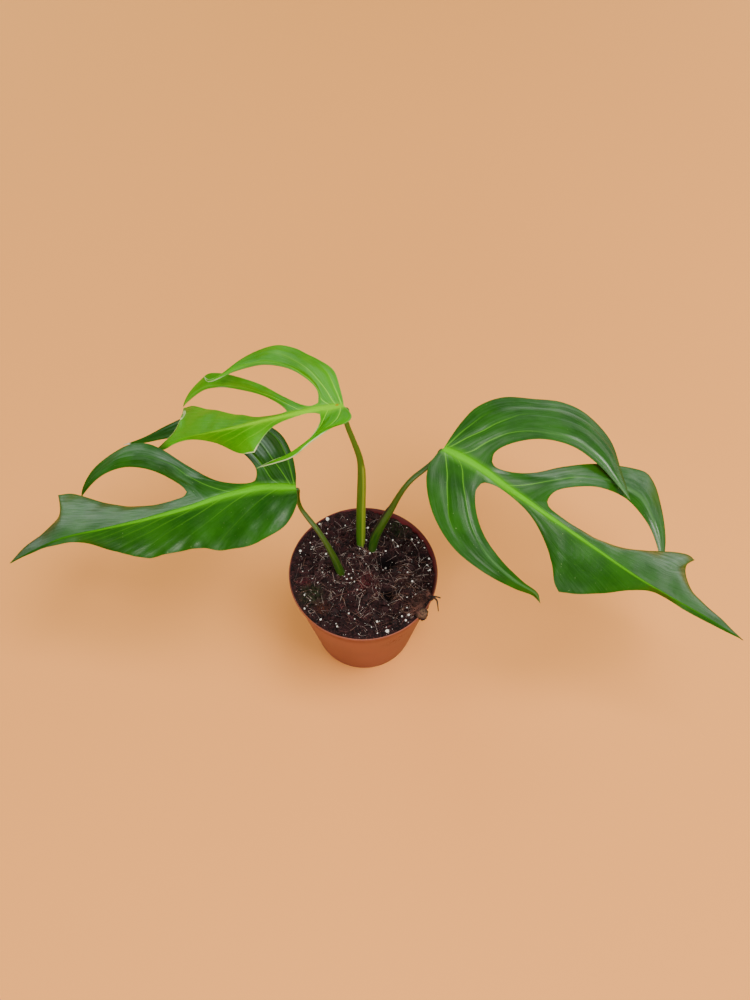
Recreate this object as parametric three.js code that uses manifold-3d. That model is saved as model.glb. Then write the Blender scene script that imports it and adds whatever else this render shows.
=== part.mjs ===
// A young split-leaf climber in a small nursery pot: three long-stalked leaves, cut into curved
// lobes, grow from a short buried stem in a loose bark and perlite mix.
// Millimetres, +Z up, origin at the middle of the pot's foot, front of the plant towards -Y.
import * as THREE from 'three'
import { mergeVertices } from 'three/addons/utils/BufferGeometryUtils.js'
import Module from 'manifold-3d'

const wasm = await Module()
wasm.setup()

// Driving dimensions
const GAP = 0.3
const POT = {
  rimWidth: 102,
  footWidth: 72,
  height: 86,
  wall: 1.2,
  floor: 1.6,
  bandHeight: 4,
  bandStep: 0.8,
  footRound: 0.8,
  innerRound: 2
}
const DRAIN = { holes: 8, width: 8, circle: 52 }
const SOIL = { level: 83, slope: 1.6, lumps: 1.3, rings: 8, sectors: 30 }
const PERLITE = { grains: 32, smallest: 0.7, largest: 1.5, seed: 7 }
const BLADE = {
  thickness: 0.75,
  keelAtStalk: 3,
  keelAtTip: 1.1,
  lobeCamber: 0.1,
  panelCamber: 0.05,
  rootFade: 8
}
const STALK = { sides: 12, steps: 16 }

// Grid lines from the midrib out to a margin, and along a lobe from its root to its tip
const ACROSS = [0, 0.14, 0.5, 1]
const ALONG = [0, 0.03, 0.09, 0.17, 0.26, 0.36, 0.46, 0.56, 0.66, 0.76, 0.86, 0.94, 1]

const MATERIALS = {
  potPlastic: new THREE.MeshStandardMaterial({ color: 0xa85a3c, roughness: 0.55, metalness: 0 }),
  pottingMix: new THREE.MeshStandardMaterial({ color: 0x2a1a1c, roughness: 0.95, metalness: 0 }),
  buriedStem: new THREE.MeshStandardMaterial({ color: 0x8a7a4e, roughness: 0.8, metalness: 0 }),
  stalk: new THREE.MeshStandardMaterial({ color: 0x55761e, roughness: 0.5, metalness: 0 }),
  darkLeaf: new THREE.MeshStandardMaterial({ color: 0x2c6a1c, roughness: 0.38, metalness: 0 }),
  youngLeaf: new THREE.MeshStandardMaterial({ color: 0x62a521, roughness: 0.38, metalness: 0 })
}

// The leaves. Points on a leaf are [along the midrib, across it, lift] from where the stalk joins it,
// in a plane through that joint and the leaf's tip. A point given twice in a row is a sharp corner.
// Each lobe hangs on the midrib between two of its stations, with a hole on either side of it.
const LEFT_LEAF = {
  joint: [-42.1, 23.5, 156],
  tip: [-232.1, -8, 112],
  stations: 24,
  midrib: [[0, 0, 0], [19, -4, 3], [45, -3, 7], [72, 0, 9], [100, 0, 9], [128, -2.5, 7], [158.5, -5.5, 4.5],
    [182, -3, 2], [197.5, 0, 0]],
  lobes: [
    {
      from: 0,
      to: 2,
      near: [[0, 0, 0], [-1, -12.5, -1], [0.5, -29.5, -3], [7, -49, -6], [21.5, -65.5, -8], [44, -80, -9],
        [66, -87, -9], [86, -84, -9], [102, -79, -10], [116, -79, -12]],
      far: [[25, -10, 4.5], [24, -14, 3], [24, -20, 2], [28, -30, 0], [38, -45.5, -4], [52, -60, -8],
        [71, -71, -11], [90, -75, -12], [104, -76, -12], [116, -79, -12]]
    },
    {
      from: 2,
      to: 7,
      near: [[25, -10, 4.5], [27, -9, 5], [34, -9.5, 6], [49.5, -16, 7], [67.5, -32.5, 8], [85, -51.5, 8],
        [95.5, -59.5, 8], [107.5, -64, 6], [121, -63.5, 3], [136.5, -59, -1], [144, -54.5, -4],
        [150, -49, -8], [152, -44, -10]],
      far: [[70, -13.5, 7], [73.5, -19.5, 6], [89, -35.5, 4], [101, -44, 3], [114.5, -49.5, 2],
        [128.5, -50.5, 0], [137.5, -49.5, -3], [145.5, -47.5, -7], [152, -44, -10]]
    }
  ],
  panels: [
    {
      from: 7,
      corner: 18,
      edge: [[70, -13.5, 7], [72, -11, 7], [79.5, -10, 7], [96, -12, 5], [113.5, -18, 3], [132, -28.5, 0],
        [147.5, -39, -2], [157, -44.5, -3], [165, -45.5, -3], [165, -45.5, -3], [163, -37.5, -1],
        [162, -30.5, 0], [163.5, -23.5, 1], [175, -15.5, 1], [189, -8, 0], [197.5, 0, 0]]
    },
    {
      from: 0,
      edge: [[0, 0, 0], [1, 9.5, -2], [11, 21.5, -5], [31, 29, -6], [52.5, 29, -5], [67, 25, -1],
        [81, 22.5, -3], [104.5, 19.5, -6], [125, 10.5, -2], [146, -0.5, 1.5], [164, -3, 2.5],
        [182, -2.5, 1], [197.5, 0, 0]]
    }
  ]
}
const CENTRE_LEAF = {
  joint: [-10.4, 45.1, 212],
  tip: [-143.1, 64.9, 134],
  stations: 20,
  midrib: [[0, 0, 0], [15.5, 1, 4], [34, 2.5, 7], [53.5, 4, 9], [76, 4, 9], [101.5, 1, 7], [126.5, -2.5, 4],
    [142, -1.5, 2], [155, 0, 0]],
  lobes: [
    {
      from: 0,
      to: 2,
      near: [[0, 0, 0], [5.5, -14.5, 0], [14.5, -32.5, -1], [30, -47, -2], [41.5, -56, -3], [53, -64.5, -3],
        [69.5, -71.5, -2], [85.5, -70.5, -1], [97.5, -64.5, 0], [105.5, -58, 0], [110.5, -52.5, 1],
        [115.5, -50.5, 1], [121, -52.5, 0], [126.5, -57.5, 0]],
      far: [[17, -4, 4], [20.5, -14.5, 3], [34.5, -30.5, 2], [54.5, -45.5, 1], [74.5, -53.5, 1],
        [89.5, -55, 1], [100.5, -53.5, 1], [108.5, -50, 1], [114.5, -47.5, 1], [121.5, -50, 0],
        [126.5, -57.5, 0]]
    },
    {
      from: 2,
      to: 4,
      near: [[17, -4, 4], [21, -2, 5], [27, -3.5, 6], [45, -15.5, 5], [69.5, -34.5, 1], [97.5, -53, -4],
        [123, -68, -9], [137.5, -73, -11], [144.5, -72, -13], [154.5, -66, -15], [158.5, -60, -16],
        [160, -54, -17]],
      far: [[37.5, -0.5, 7], [41.5, -5, 6], [63.5, -22.5, 2], [91.5, -40, -4], [119, -54, -9],
        [138, -59, -12], [151.5, -57.5, -15], [160, -54, -17]]
    },
    {
      from: 0,
      to: 1,
      near: [[0, 0, 0], [-5.5, 6, 1], [-8, 11, 1], [-6, 14.5, 1], [5.5, 15.5, 0], [19.5, 21.5, -1],
        [34.5, 26.5, -5], [52, 25, -9], [71, 21, -14]],
      far: [[14, 5, 4], [14, 9.5, 2], [20.5, 16.5, -1], [34.5, 22, -5], [53, 21.5, -9], [71, 21, -14]]
    }
  ],
  panels: [
    {
      from: 4,
      corner: 15,
      edge: [[37.5, -0.5, 7], [42, 0, 7], [60, -3, 6], [82, -11.5, 4], [106.5, -23.5, 1], [134, -37.5, -3],
        [148, -43, -8], [148, -43, -8], [140.5, -30.5, -5], [142, -14, -2], [148, -7, -1], [155, 0, 0]]
    },
    {
      from: 1,
      corner: 9,
      edge: [[14, 5, 4], [19, 3, 4], [31, 4, 5], [46, 6, 4], [56, 9, 1], [67, 16, -5], [67, 16, -5],
        [79.5, 13.5, -5], [101, 3, -0.5], [117, -0.5, 3], [132.5, -1, 2.5], [143.5, 0.5, 1], [155, 0, 0]]
    }
  ]
}
const RIGHT_LEAF = {
  joint: [51.3, 42.3, 172],
  tip: [245.9, -55.6, 96],
  stations: 26,
  midrib: [[0, 0, 0], [19.5, 0.5, 3], [49.5, -3.5, 7], [79.5, -6, 9], [110.5, -7.5, 9], [144, -7.5, 7],
    [170, -5.5, 5], [198, -2.5, 3], [230.5, 0, 0]],
  lobes: [
    {
      from: 0,
      to: 3,
      near: [[0, 0, 0], [0.5, 11, 0], [2, 26, -1], [6, 42.5, -2], [18, 61, -3], [37, 74, -3],
        [55.5, 85.5, -4], [73, 88.5, -4], [96.5, 81, -4], [112.5, 62, -2], [124, 46.5, 0]],
      far: [[30.5, 8, 5], [29.5, 15.5, 4], [36.5, 29, 3], [54, 46.5, 2], [75, 55.5, 1], [95.5, 55, 0],
        [112, 50, 0], [124, 46.5, 0]]
    },
    {
      from: 3,
      to: 7,
      near: [[30.5, 8, 5], [33.5, 5, 6], [43, 7, 7], [56.5, 17, 5], [74.5, 38, 0], [95.5, 58.5, -5],
        [122, 75.5, -9], [132.5, 79.5, -11], [140, 76, -12], [148, 67.5, -13], [156, 55, -13],
        [161.5, 43.5, -13], [164.5, 32.5, -13]],
      far: [[73, 3, 8], [73, 7, 7.5], [75.5, 14.5, 6], [85, 26, 3], [104, 42, -2.5], [126, 49.5, -8],
        [146.5, 45.5, -12], [157.5, 36.5, -13], [164.5, 32.5, -13]]
    },
    {
      from: 0,
      to: 3,
      near: [[0, 0, 0], [-2, -6.5, -1], [-2, -17.5, -3], [4, -29, -5], [17.5, -42.5, -7], [37, -52, -9],
        [60, -54.5, -10], [83, -51, -13], [97, -46, -17], [105, -45, -22]],
      far: [[31, -9.5, 4], [30.5, -15.5, 3], [36, -25.5, 1], [48, -36, -2], [65.5, -43, -5],
        [85.5, -45, -10], [99, -43, -16], [105, -45, -22]]
    }
  ],
  panels: [
    {
      from: 7,
      corner: 17,
      edge: [[73, 3, 8], [75.5, 0.5, 8], [92, -0.5, 7], [112.5, 1.5, 5], [136.5, 10.5, 2], [159.5, 26, -2],
        [179, 37, -5], [184, 37, -6], [184, 37, -6], [178.5, 27.5, -3], [179.5, 19.5, -1], [186, 10, 1],
        [205.5, 5, 1], [230.5, 0, 0]]
    },
    {
      from: 3,
      corner: 11,
      edge: [[31, -9.5, 4], [33.5, -7, 4], [43, -5.5, 5], [61, -8.5, 5], [80, -16, 3], [94.5, -28, -1],
        [102, -36.5, -4], [108, -39.5, -6], [108, -39.5, -6], [119.5, -34.5, -4], [133, -26, -1],
        [147.5, -15, 1], [163, -7, 2], [186, -6, 2], [208.5, -3.5, 1], [230.5, 0, 0]]
    }
  ]
}

// Small geometry helpers
const point = ([x, y, z]) => new THREE.Vector3(x, y, z)
const curveThrough = points => new THREE.CatmullRomCurve3(points.map(point), false, 'centripetal')

function rampUp(x) {
  const t = THREE.MathUtils.clamp(x, 0, 1)
  return t * t * (3 - 2 * t)
}

const faceNormal = (a, b, c) => b.clone().sub(a).cross(c.clone().sub(a))

function closedGeometry(vertices, triangles) {
  const geometry = new THREE.BufferGeometry()
  geometry.setAttribute('position', new THREE.Float32BufferAttribute(vertices.flatMap(v => v.toArray()), 3))
  geometry.setIndex(triangles.flat())
  return geometry
}

function toSolid(geometry) {
  const bare = geometry.clone()
  bare.deleteAttribute('normal')
  bare.deleteAttribute('uv')
  const merged = mergeVertices(bare, 1e-4)
  const corners = Array.from(merged.index.array)
  const triangles = []
  for (let i = 0; i < corners.length; i += 3) {
    const [a, b, c] = corners.slice(i, i + 3)
    if (a !== b && b !== c && c !== a) triangles.push(a, b, c)
  }
  return new wasm.Manifold(new wasm.Mesh({
    numProp: 3,
    vertProperties: Float32Array.from(merged.attributes.position.array),
    triVerts: Uint32Array.from(triangles)
  }))
}

// The largest single body of a solid, without the loose slivers that a cut can leave
function toGeometry(solid) {
  const bodies = solid.decompose().sort((a, b) => b.volume() - a.volume())
  const { vertProperties, triVerts } = bodies[0].getMesh()
  const geometry = new THREE.BufferGeometry()
  geometry.setAttribute('position', new THREE.BufferAttribute(vertProperties, 3))
  geometry.setIndex(new THREE.BufferAttribute(triVerts, 1))
  return geometry
}

function turned(profile, segments) {
  const outline = profile.map(([r, z]) => new THREE.Vector2(r, z))
  return new THREE.LatheGeometry(outline, segments).rotateX(Math.PI / 2)
}

// A closed tube along a curve; radiusAt(u, angle) shapes its section, with angle 0 towards facing
function tube(curve, steps, sides, radiusAt, facing) {
  const vertices = [curve.getPointAt(0)]
  for (let i = 0; i <= steps; i++) {
    const u = i / steps
    const along = curve.getTangentAt(u)
    const front = facing.clone().projectOnPlane(along).normalize()
    const side = along.clone().cross(front)
    for (let j = 0; j < sides; j++) {
      const angle = 2 * Math.PI * j / sides
      const r = radiusAt(u, angle)
      vertices.push(curve.getPointAt(u).addScaledVector(front, r * Math.cos(angle))
        .addScaledVector(side, r * Math.sin(angle)))
    }
  }
  vertices.push(curve.getPointAt(1))
  const triangles = []
  const at = (i, j) => 1 + i * sides + j % sides
  for (let j = 0; j < sides; j++) {
    triangles.push([0, at(0, j + 1), at(0, j)])
    for (let i = 0; i < steps; i++) {
      triangles.push([at(i, j), at(i, j + 1), at(i + 1, j + 1)], [at(i, j), at(i + 1, j + 1), at(i + 1, j)])
    }
    triangles.push([vertices.length - 1, at(steps, j), at(steps, j + 1)])
  }
  return closedGeometry(vertices, triangles)
}

// Points along an edge, as cells + 1 of them; an edge with a sharp corner has it after cellsToCorner
function edgePoints(edge, cells, cellsToCorner) {
  const runs = [[edge[0]]]
  for (let i = 1; i < edge.length; i++) {
    const isCorner = edge[i].every((value, k) => value === edge[i - 1][k])
    if (isCorner) runs.push([])
    runs.at(-1).push(edge[i])
  }
  const shares = runs.length > 1 ? [cellsToCorner, cells - cellsToCorner] : [cells]
  const spaced = runs.map((run, i) => curveThrough(run).getSpacedPoints(shares[i]))
  return [...spaced[0], ...spaced.slice(1).flatMap(points => points.slice(1))]
}

// A leaf's upper face in the leaf's own frame, as one welded grid of quads for each lobe and panel
function bladeFace(leaf) {
  const vertices = []
  const depths = []
  const triangles = []
  const known = new Map()
  const keelDepth = i => THREE.MathUtils.lerp(BLADE.keelAtStalk, BLADE.keelAtTip, i / leaf.stations)
  const midrib = curveThrough(leaf.midrib).getSpacedPoints(leaf.stations)
  midrib.forEach((p, i) => addVertex(p, keelDepth(i)))

  function addVertex(p, depth = BLADE.thickness) {
    const key = p.toArray().map(value => Math.round(value * 1e3)).join()
    if (!known.has(key)) {
      known.set(key, vertices.length)
      vertices.push(p.clone())
      depths.push(depth)
    }
    return known.get(key)
  }

  const facing = ([a, b, c]) => faceNormal(vertices[a], vertices[b], vertices[c]).z

  // Rows run from rail to rail; each quad is split along the diagonal that keeps both halves facing
  // the same way as the whole grid, and a grid on the other side of the midrib is wound back
  function addGrid(rows) {
    const ids = rows.map(row => row.map(p => addVertex(p)))
    const quads = []
    for (let i = 0; i + 1 < ids.length; i++) {
      for (let j = 0; j + 1 < ids[i].length; j++) {
        quads.push([ids[i][j], ids[i + 1][j], ids[i + 1][j + 1], ids[i][j + 1]])
      }
    }
    const total = quads.reduce((sum, [a, b, c, d]) => sum + facing([a, b, c]) + facing([a, c, d]), 0)
    for (const [a, b, c, d] of quads) {
      const splits = [[[a, b, c], [a, c, d]], [[a, b, d], [b, c, d]]]
      const worst = splits.map(pair => Math.min(...pair.map(corners => Math.sign(total) * facing(corners))))
      for (const [p, q, r] of splits[worst[0] >= worst[1] ? 0 : 1]) {
        if (p !== q && q !== r && r !== p) triangles.push(total > 0 ? [p, q, r] : [p, r, q])
      }
    }
  }

  const arched = (p, rise, t) => p.clone().setZ(p.z + rise * 4 * t * (1 - t))
  const web = (from, to) => ACROSS.map(t => from.clone().lerp(to, t))

  for (const lobe of leaf.lobes) {
    const near = curveThrough(lobe.near)
    const far = curveThrough(lobe.far)
    const nearWeb = lobe.from > 0 ? web(midrib[lobe.from], point(lobe.near[0])).reverse().slice(0, -1) : []
    const farWeb = web(midrib[lobe.to], point(lobe.far[0])).slice(1)
    const root = [...nearWeb, ...midrib.slice(lobe.from, lobe.to + 1), ...farWeb]
    const run = [0]
    for (let j = 1; j < root.length; j++) run.push(run[j - 1] + root[j].distanceTo(root[j - 1]))
    addGrid(ALONG.map(s => root.map((rootPoint, j) => {
      if (s === 0) return rootPoint
      if (s === 1) return point(lobe.near.at(-1))
      const t = run[j] / run.at(-1)
      const a = near.getPointAt(s)
      const b = far.getPointAt(s)
      const bulge = rootPoint.clone().sub(root[0].clone().lerp(root.at(-1), t))
      const rise = BLADE.lobeCamber * a.distanceTo(b) * rampUp(s * 5)
      return arched(a.clone().lerp(b, t).addScaledVector(bulge, (1 - s) ** BLADE.rootFade), rise, t)
    })))
  }
  for (const panel of leaf.panels) {
    const rib = midrib.slice(panel.from)
    const margin = edgePoints(panel.edge, rib.length - 1, panel.corner - panel.from)
    addGrid(rib.map((a, i) => ACROSS.map(t => {
      if (t === 0) return a
      if (t === 1) return margin[i]
      const rise = BLADE.panelCamber * a.distanceTo(margin[i]) * rampUp(i / 4)
      return arched(a.clone().lerp(margin[i], t), rise, t)
    })))
  }
  return { vertices, depths, triangles }
}

// A blade as a closed thin solid; spare thickens both faces, for cutting what the blade rests on
function bladeGeometry(leaf, spare = 0) {
  const { vertices, depths, triangles } = bladeFace(leaf)
  const normals = vertices.map(() => new THREE.Vector3())
  for (const [a, b, c] of triangles) {
    const normal = faceNormal(vertices[a], vertices[b], vertices[c])
    for (const corner of [a, b, c]) normals[corner].add(normal)
  }
  normals.forEach(normal => normal.normalize())
  const count = vertices.length
  const top = vertices.map((v, i) => v.clone().addScaledVector(normals[i], spare))
  const bottom = vertices.map((v, i) => v.clone().addScaledVector(normals[i], -depths[i] - spare))
  const all = [...triangles, ...triangles.map(([a, b, c]) => [a + count, c + count, b + count])]
  const edges = new Set(triangles.flatMap(([a, b, c]) => [`${a},${b}`, `${b},${c}`, `${c},${a}`]))
  for (const edge of edges) {
    const [a, b] = edge.split(',').map(Number)
    if (!edges.has(`${b},${a}`)) all.push([b, a, a + count], [b, a + count, b + count])
  }
  return closedGeometry([...top, ...bottom], all)
}

function bladePlace(leaf) {
  const joint = point(leaf.joint)
  const along = point(leaf.tip).sub(joint).normalize()
  const across = new THREE.Vector3(0, 0, 1).cross(along).normalize()
  const lift = along.clone().cross(across)
  return new THREE.Matrix4().makeBasis(along, across, lift).setPosition(joint)
}

// The pot: a thin tapered shell with a shallow band round its lip; spare thickens it on both faces
function wallRadius(z) {
  return THREE.MathUtils.lerp(POT.footWidth / 2, POT.rimWidth / 2 - POT.bandStep, z / POT.height)
}

function potShell(spare = 0) {
  const bandFoot = POT.height - POT.bandHeight
  const lip = POT.rimWidth / 2
  return turned([
    [0, -spare],
    [wallRadius(0) - POT.footRound + spare, -spare],
    [wallRadius(POT.footRound) + spare, POT.footRound],
    [wallRadius(bandFoot) + spare, bandFoot],
    [lip + spare, bandFoot + POT.bandStep],
    [lip + spare, POT.height + spare],
    [lip - POT.wall - spare, POT.height + spare],
    [wallRadius(bandFoot) - POT.wall - spare, bandFoot],
    [wallRadius(POT.floor + POT.innerRound) - POT.wall - spare, POT.floor + POT.innerRound],
    [wallRadius(POT.floor) - POT.wall - POT.innerRound - spare, POT.floor + spare],
    [0, POT.floor + spare]
  ], 48)
}

function potGeometry() {
  const holes = Array.from({ length: DRAIN.holes }, (_, i) => {
    const angle = 2 * Math.PI * (i + 0.5) / DRAIN.holes
    return toSolid(new THREE.CylinderGeometry(DRAIN.width / 2, DRAIN.width / 2, 4 * POT.floor, 16)
      .rotateX(Math.PI / 2)
      .translate(DRAIN.circle / 2 * Math.cos(angle), DRAIN.circle / 2 * Math.sin(angle), 0))
  })
  return toGeometry(toSolid(potShell()).subtract(wasm.Manifold.union(holes)))
}

// The buried stem, swollen at its nodes, with a few stout roots; spare gives the hollow that it fills
const STEM_PATH = [[-15, -7, 57], [-11, 1, 61], [-5, 10, 64.5], [1, 18, 66], [5, 25, 66]]
const ROOTS = [
  [[-12, -2, 58], [-22, -12, 48], [-30, -18, 32], [-27, -22, 14]],
  [[-8, 5, 58], [-20, 16, 46], [-28, 24, 28], [-22, 28, 10]],
  [[-3, 10, 60], [12, 0, 50], [26, -10, 36], [28, -18, 16]],
  [[1, 17, 62], [14, 26, 52], [24, 30, 34], [18, 26, 12]],
  [[-6, 6, 58], [-4, -8, 44], [4, -18, 26], [0, -22, 8]]
]

function stemSolid(spare = 0) {
  const swelling = u => 5.4 + 0.6 * Math.cos(10 * Math.PI * u)
  const rounding = u => Math.max(0.4, Math.sqrt(1 - Math.abs(2 * u - 1) ** 5))
  const facing = new THREE.Vector3(0, 0, 1)
  const stem = tube(curveThrough(STEM_PATH), 16, 10, u => swelling(u) * rounding(u) + spare, facing)
  const roots = ROOTS.map(path => tube(curveThrough(path), 7, 5, u => 1.7 - u + spare, facing))
  return wasm.Manifold.union([stem, ...roots].map(toSolid))
}

// The leaf stalks, from the buried stem up to the underside of each blade. Radii are evenly spaced
// along the stalk, and the open sheath on its lower part faces the plant's own middle.
const STALKS = {
  left: {
    leaf: LEFT_LEAF,
    path: [[-11, 3, 66], [-13.5, 1.5, 74], [-15.7, 1, 83], [-20, 4.6, 98], [-24.7, 8.7, 110],
      [-30.5, 13.6, 120], [-35.5, 17.9, 125.5], [-40.3, 21.9, 132], [-41.9, 23.3, 140], [-41.7, 23.5, 148]],
    radii: [2.6, 2.7, 2.7, 2.3, 1.9, 1.7, 1.7, 1.4, 1.4, 1.5],
    sheathEnd: 0.4,
    facing: [0.7, -0.2, 0.7]
  },
  centre: {
    leaf: CENTRE_LEAF,
    path: [[-1.4, 18, 68], [-1.9, 20, 76], [-2.1, 22.1, 83], [-1.9, 26.4, 107], [-1.6, 29.1, 122],
      [-0.8, 34.3, 151], [-1.2, 36.8, 165], [-2.8, 38.3, 174], [-5.8, 40.3, 185], [-9.1, 42.8, 197],
      [-10.2, 44.6, 204.5]],
    radii: [2.3, 2.3, 2.4, 2.4, 2.4, 2.4, 2.2, 1.9, 1.7, 1.6, 1.5],
    sheathEnd: 0.66,
    facing: [1, -0.35, 0]
  },
  right: {
    leaf: RIGHT_LEAF,
    path: [[5.4, 18.6, 68], [5.8, 18.9, 76], [6.3, 19.2, 83], [8.8, 20.4, 99], [12.8, 22.3, 111.5],
      [17.4, 24.7, 122.5], [23.9, 28, 139], [28, 30, 147], [32.8, 32.4, 153], [38.6, 35.3, 157],
      [44.2, 38.2, 161], [48.1, 40.5, 165.5]],
    radii: [2.4, 2.4, 2.5, 2.6, 2.5, 2.1, 1.8, 1.7, 1.7, 1.6, 1.6],
    sheathEnd: 0.52,
    facing: [-0.75, 0.1, 0.65]
  }
}

function stalkTube({ leaf, path, radii, sheathEnd, facing }, spare = 0) {
  const place = bladePlace(leaf)
  const intoKeel = [[0.2, 0, -3.6], [2.4, 0, -1.4]].map(p => point(p).applyMatrix4(place).toArray())
  const sectionAt = (u, angle) => {
    const k = Math.min(u * (radii.length - 1), radii.length - 1.001)
    const radius = THREE.MathUtils.lerp(radii[Math.floor(k)], radii[Math.floor(k) + 1], k % 1)
    const turn = Math.abs(angle > Math.PI ? angle - 2 * Math.PI : angle)
    const sheath = rampUp((sheathEnd - u) / 0.05)
    const wing = 0.2 * Math.exp(-(((turn - 0.7) / 0.35) ** 2))
    const groove = 0.22 * Math.exp(-((turn / 0.3) ** 2))
    return radius * (1 + sheath * (wing - groove)) + spare
  }
  return tube(curveThrough([...path, ...intoKeel]), STALK.steps, STALK.sides, sectionAt, point(facing))
}

// The potting mix: a lumpy filling, with white grains sunk half in, a fibrous tuft that spills over
// the lip at the front right, and plain hollows for the stalks and the buried stem
const PITS = [{ x: 16, y: 6, width: 7, depth: 5 }, { x: 15, y: -16, width: 5, depth: 3 }]
const TUFT_LUMPS = [[34, -27, 84.5, 7], [40, -25, 86, 5.5], [45, -22.5, 88.2, 2.8], [38.5, -33.5, 88, 3.2]]
const TUFT_TWIGS = [
  [[41, -23, 88], [46, -22.5, 89.6], [50.5, -22, 89.2]],
  [[44, -24, 88.5], [48.5, -26, 88.8], [52.3, -29.5, 86.8], [52, -31.5, 84.5]]
]

function mixHeight(x, y) {
  const tilt = -SOIL.slope * (0.8 * y + 0.6 * x) / (POT.rimWidth / 2)
  const waves = 0.6 * Math.sin(0.31 * x + 1.3) * Math.cos(0.27 * y) + 0.4 * Math.sin(0.53 * x - 0.41 * y)
  const pits = PITS.reduce((sum, pit) => {
    const reach = Math.hypot(x - pit.x, y - pit.y) / (pit.width / 2)
    return sum + pit.depth * Math.exp(-(reach ** 2))
  }, 0)
  return Math.min(SOIL.level + tilt + SOIL.lumps * waves - pits, POT.height - 0.5)
}

function mixGeometry() {
  const wall = z => wallRadius(z) - POT.wall - GAP
  const foot = POT.floor + GAP
  const brim = wall(SOIL.level - 4)
  const rings = Array.from({ length: SOIL.rings }, (_, i) => [brim * (1 - i / SOIL.rings), SOIL.level])
  const rise = foot + POT.innerRound
  const foothold = [[0, foot], [wall(foot) - POT.innerRound, foot], [wall(rise), rise]]
  const body = turned([...foothold, ...rings, [0, SOIL.level]], SOIL.sectors)
  const places = body.attributes.position
  for (let i = 0; i < places.count; i++) {
    const onTop = Math.abs(places.getZ(i) - SOIL.level) < 1e-4
    if (onTop) places.setZ(i, mixHeight(places.getX(i), places.getY(i)))
  }

  let seed = PERLITE.seed
  const random = () => {
    seed = (seed * 16807) % 2147483647
    return seed / 2147483647
  }
  const grains = Array.from({ length: PERLITE.grains }, () => {
    const size = THREE.MathUtils.lerp(PERLITE.smallest, PERLITE.largest, random() ** 2)
    const reach = (brim - 3) * Math.sqrt(random())
    const angle = 2 * Math.PI * random()
    const [x, y] = [reach * Math.cos(angle), reach * Math.sin(angle)]
    return toSolid(new THREE.IcosahedronGeometry(size).rotateX(3 * random()).rotateZ(3 * random())
      .translate(x, y, mixHeight(x, y) + 0.3 * size))
  })

  const lumps = TUFT_LUMPS.map(([x, y, z, radius]) => {
    return toSolid(new THREE.IcosahedronGeometry(radius, 1).translate(x, y, z))
  })
  const facing = new THREE.Vector3(0, 0, 1)
  const twigs = TUFT_TWIGS.map(path => toSolid(tube(curveThrough(path), 4, 5, () => 0.65, facing)))
  const tuft = wasm.Manifold.union([...lumps, ...twigs]).subtract(toSolid(potShell(GAP * 1.2)))

  const hollows = [stemSolid(GAP), ...Object.values(STALKS).map(stalk => toSolid(stalkTube(stalk, GAP)))]
  const filling = wasm.Manifold.union([toSolid(body), tuft, ...grains])
  return toGeometry(filling.subtract(wasm.Manifold.union(hollows)))
}

// The assembly
const plant = new THREE.Group()

function addPiece(name, geometry, material, place = new THREE.Matrix4()) {
  geometry.computeVertexNormals()
  const mesh = new THREE.Mesh(geometry, material)
  mesh.name = name
  mesh.applyMatrix4(place)
  plant.add(mesh)
}

addPiece('pot', potGeometry(), MATERIALS.potPlastic)
addPiece('potting_mix', mixGeometry(), MATERIALS.pottingMix)
addPiece('buried_stem', toGeometry(stemSolid()), MATERIALS.buriedStem)

const bladeMaterials = { left: MATERIALS.darkLeaf, centre: MATERIALS.youngLeaf, right: MATERIALS.darkLeaf }
const stemHollow = stemSolid(GAP)
for (const [side, stalk] of Object.entries(STALKS)) {
  const place = bladePlace(stalk.leaf)
  const bladeHollow = toSolid(bladeGeometry(stalk.leaf, GAP).applyMatrix4(place))
  const stalkSolid = toSolid(stalkTube(stalk)).subtract(stemHollow).subtract(bladeHollow)
  addPiece(`${side}_stalk`, toGeometry(stalkSolid), MATERIALS.stalk)
  addPiece(`${side}_blade`, bladeGeometry(stalk.leaf), bladeMaterials[side], place)
}

export default plant
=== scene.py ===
"""The looks of a young split-leaf climber in a small nursery pot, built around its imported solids."""

import math
import random

import bpy
import numpy as np
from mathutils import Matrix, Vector, noise


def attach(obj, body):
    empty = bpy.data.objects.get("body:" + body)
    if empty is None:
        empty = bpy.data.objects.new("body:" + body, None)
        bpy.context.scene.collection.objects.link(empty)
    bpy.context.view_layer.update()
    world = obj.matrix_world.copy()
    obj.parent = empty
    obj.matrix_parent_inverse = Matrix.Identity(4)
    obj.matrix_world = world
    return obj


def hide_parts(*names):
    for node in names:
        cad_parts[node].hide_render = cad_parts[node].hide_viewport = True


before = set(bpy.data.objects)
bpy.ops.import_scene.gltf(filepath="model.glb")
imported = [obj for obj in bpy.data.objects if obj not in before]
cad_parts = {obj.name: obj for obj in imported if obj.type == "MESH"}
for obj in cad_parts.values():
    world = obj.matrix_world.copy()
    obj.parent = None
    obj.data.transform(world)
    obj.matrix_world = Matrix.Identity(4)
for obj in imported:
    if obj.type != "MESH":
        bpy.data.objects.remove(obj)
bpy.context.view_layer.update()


# The view and the room. The plant stands on a pale floor between broad soft lights: greenish ones
# behind and beside it, which give the leaves their sheen, and two warm ones, low in front and high
# up at the right.
bpy.ops.object.camera_add(location=(0.00806, -0.3018, 0.6642), rotation=(math.radians(31.84), 0, 0))
camera = bpy.context.object
camera.data.sensor_fit = "VERTICAL"
camera.data.sensor_height = 36
camera.data.lens = 34.2
bpy.context.scene.camera = camera

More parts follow.
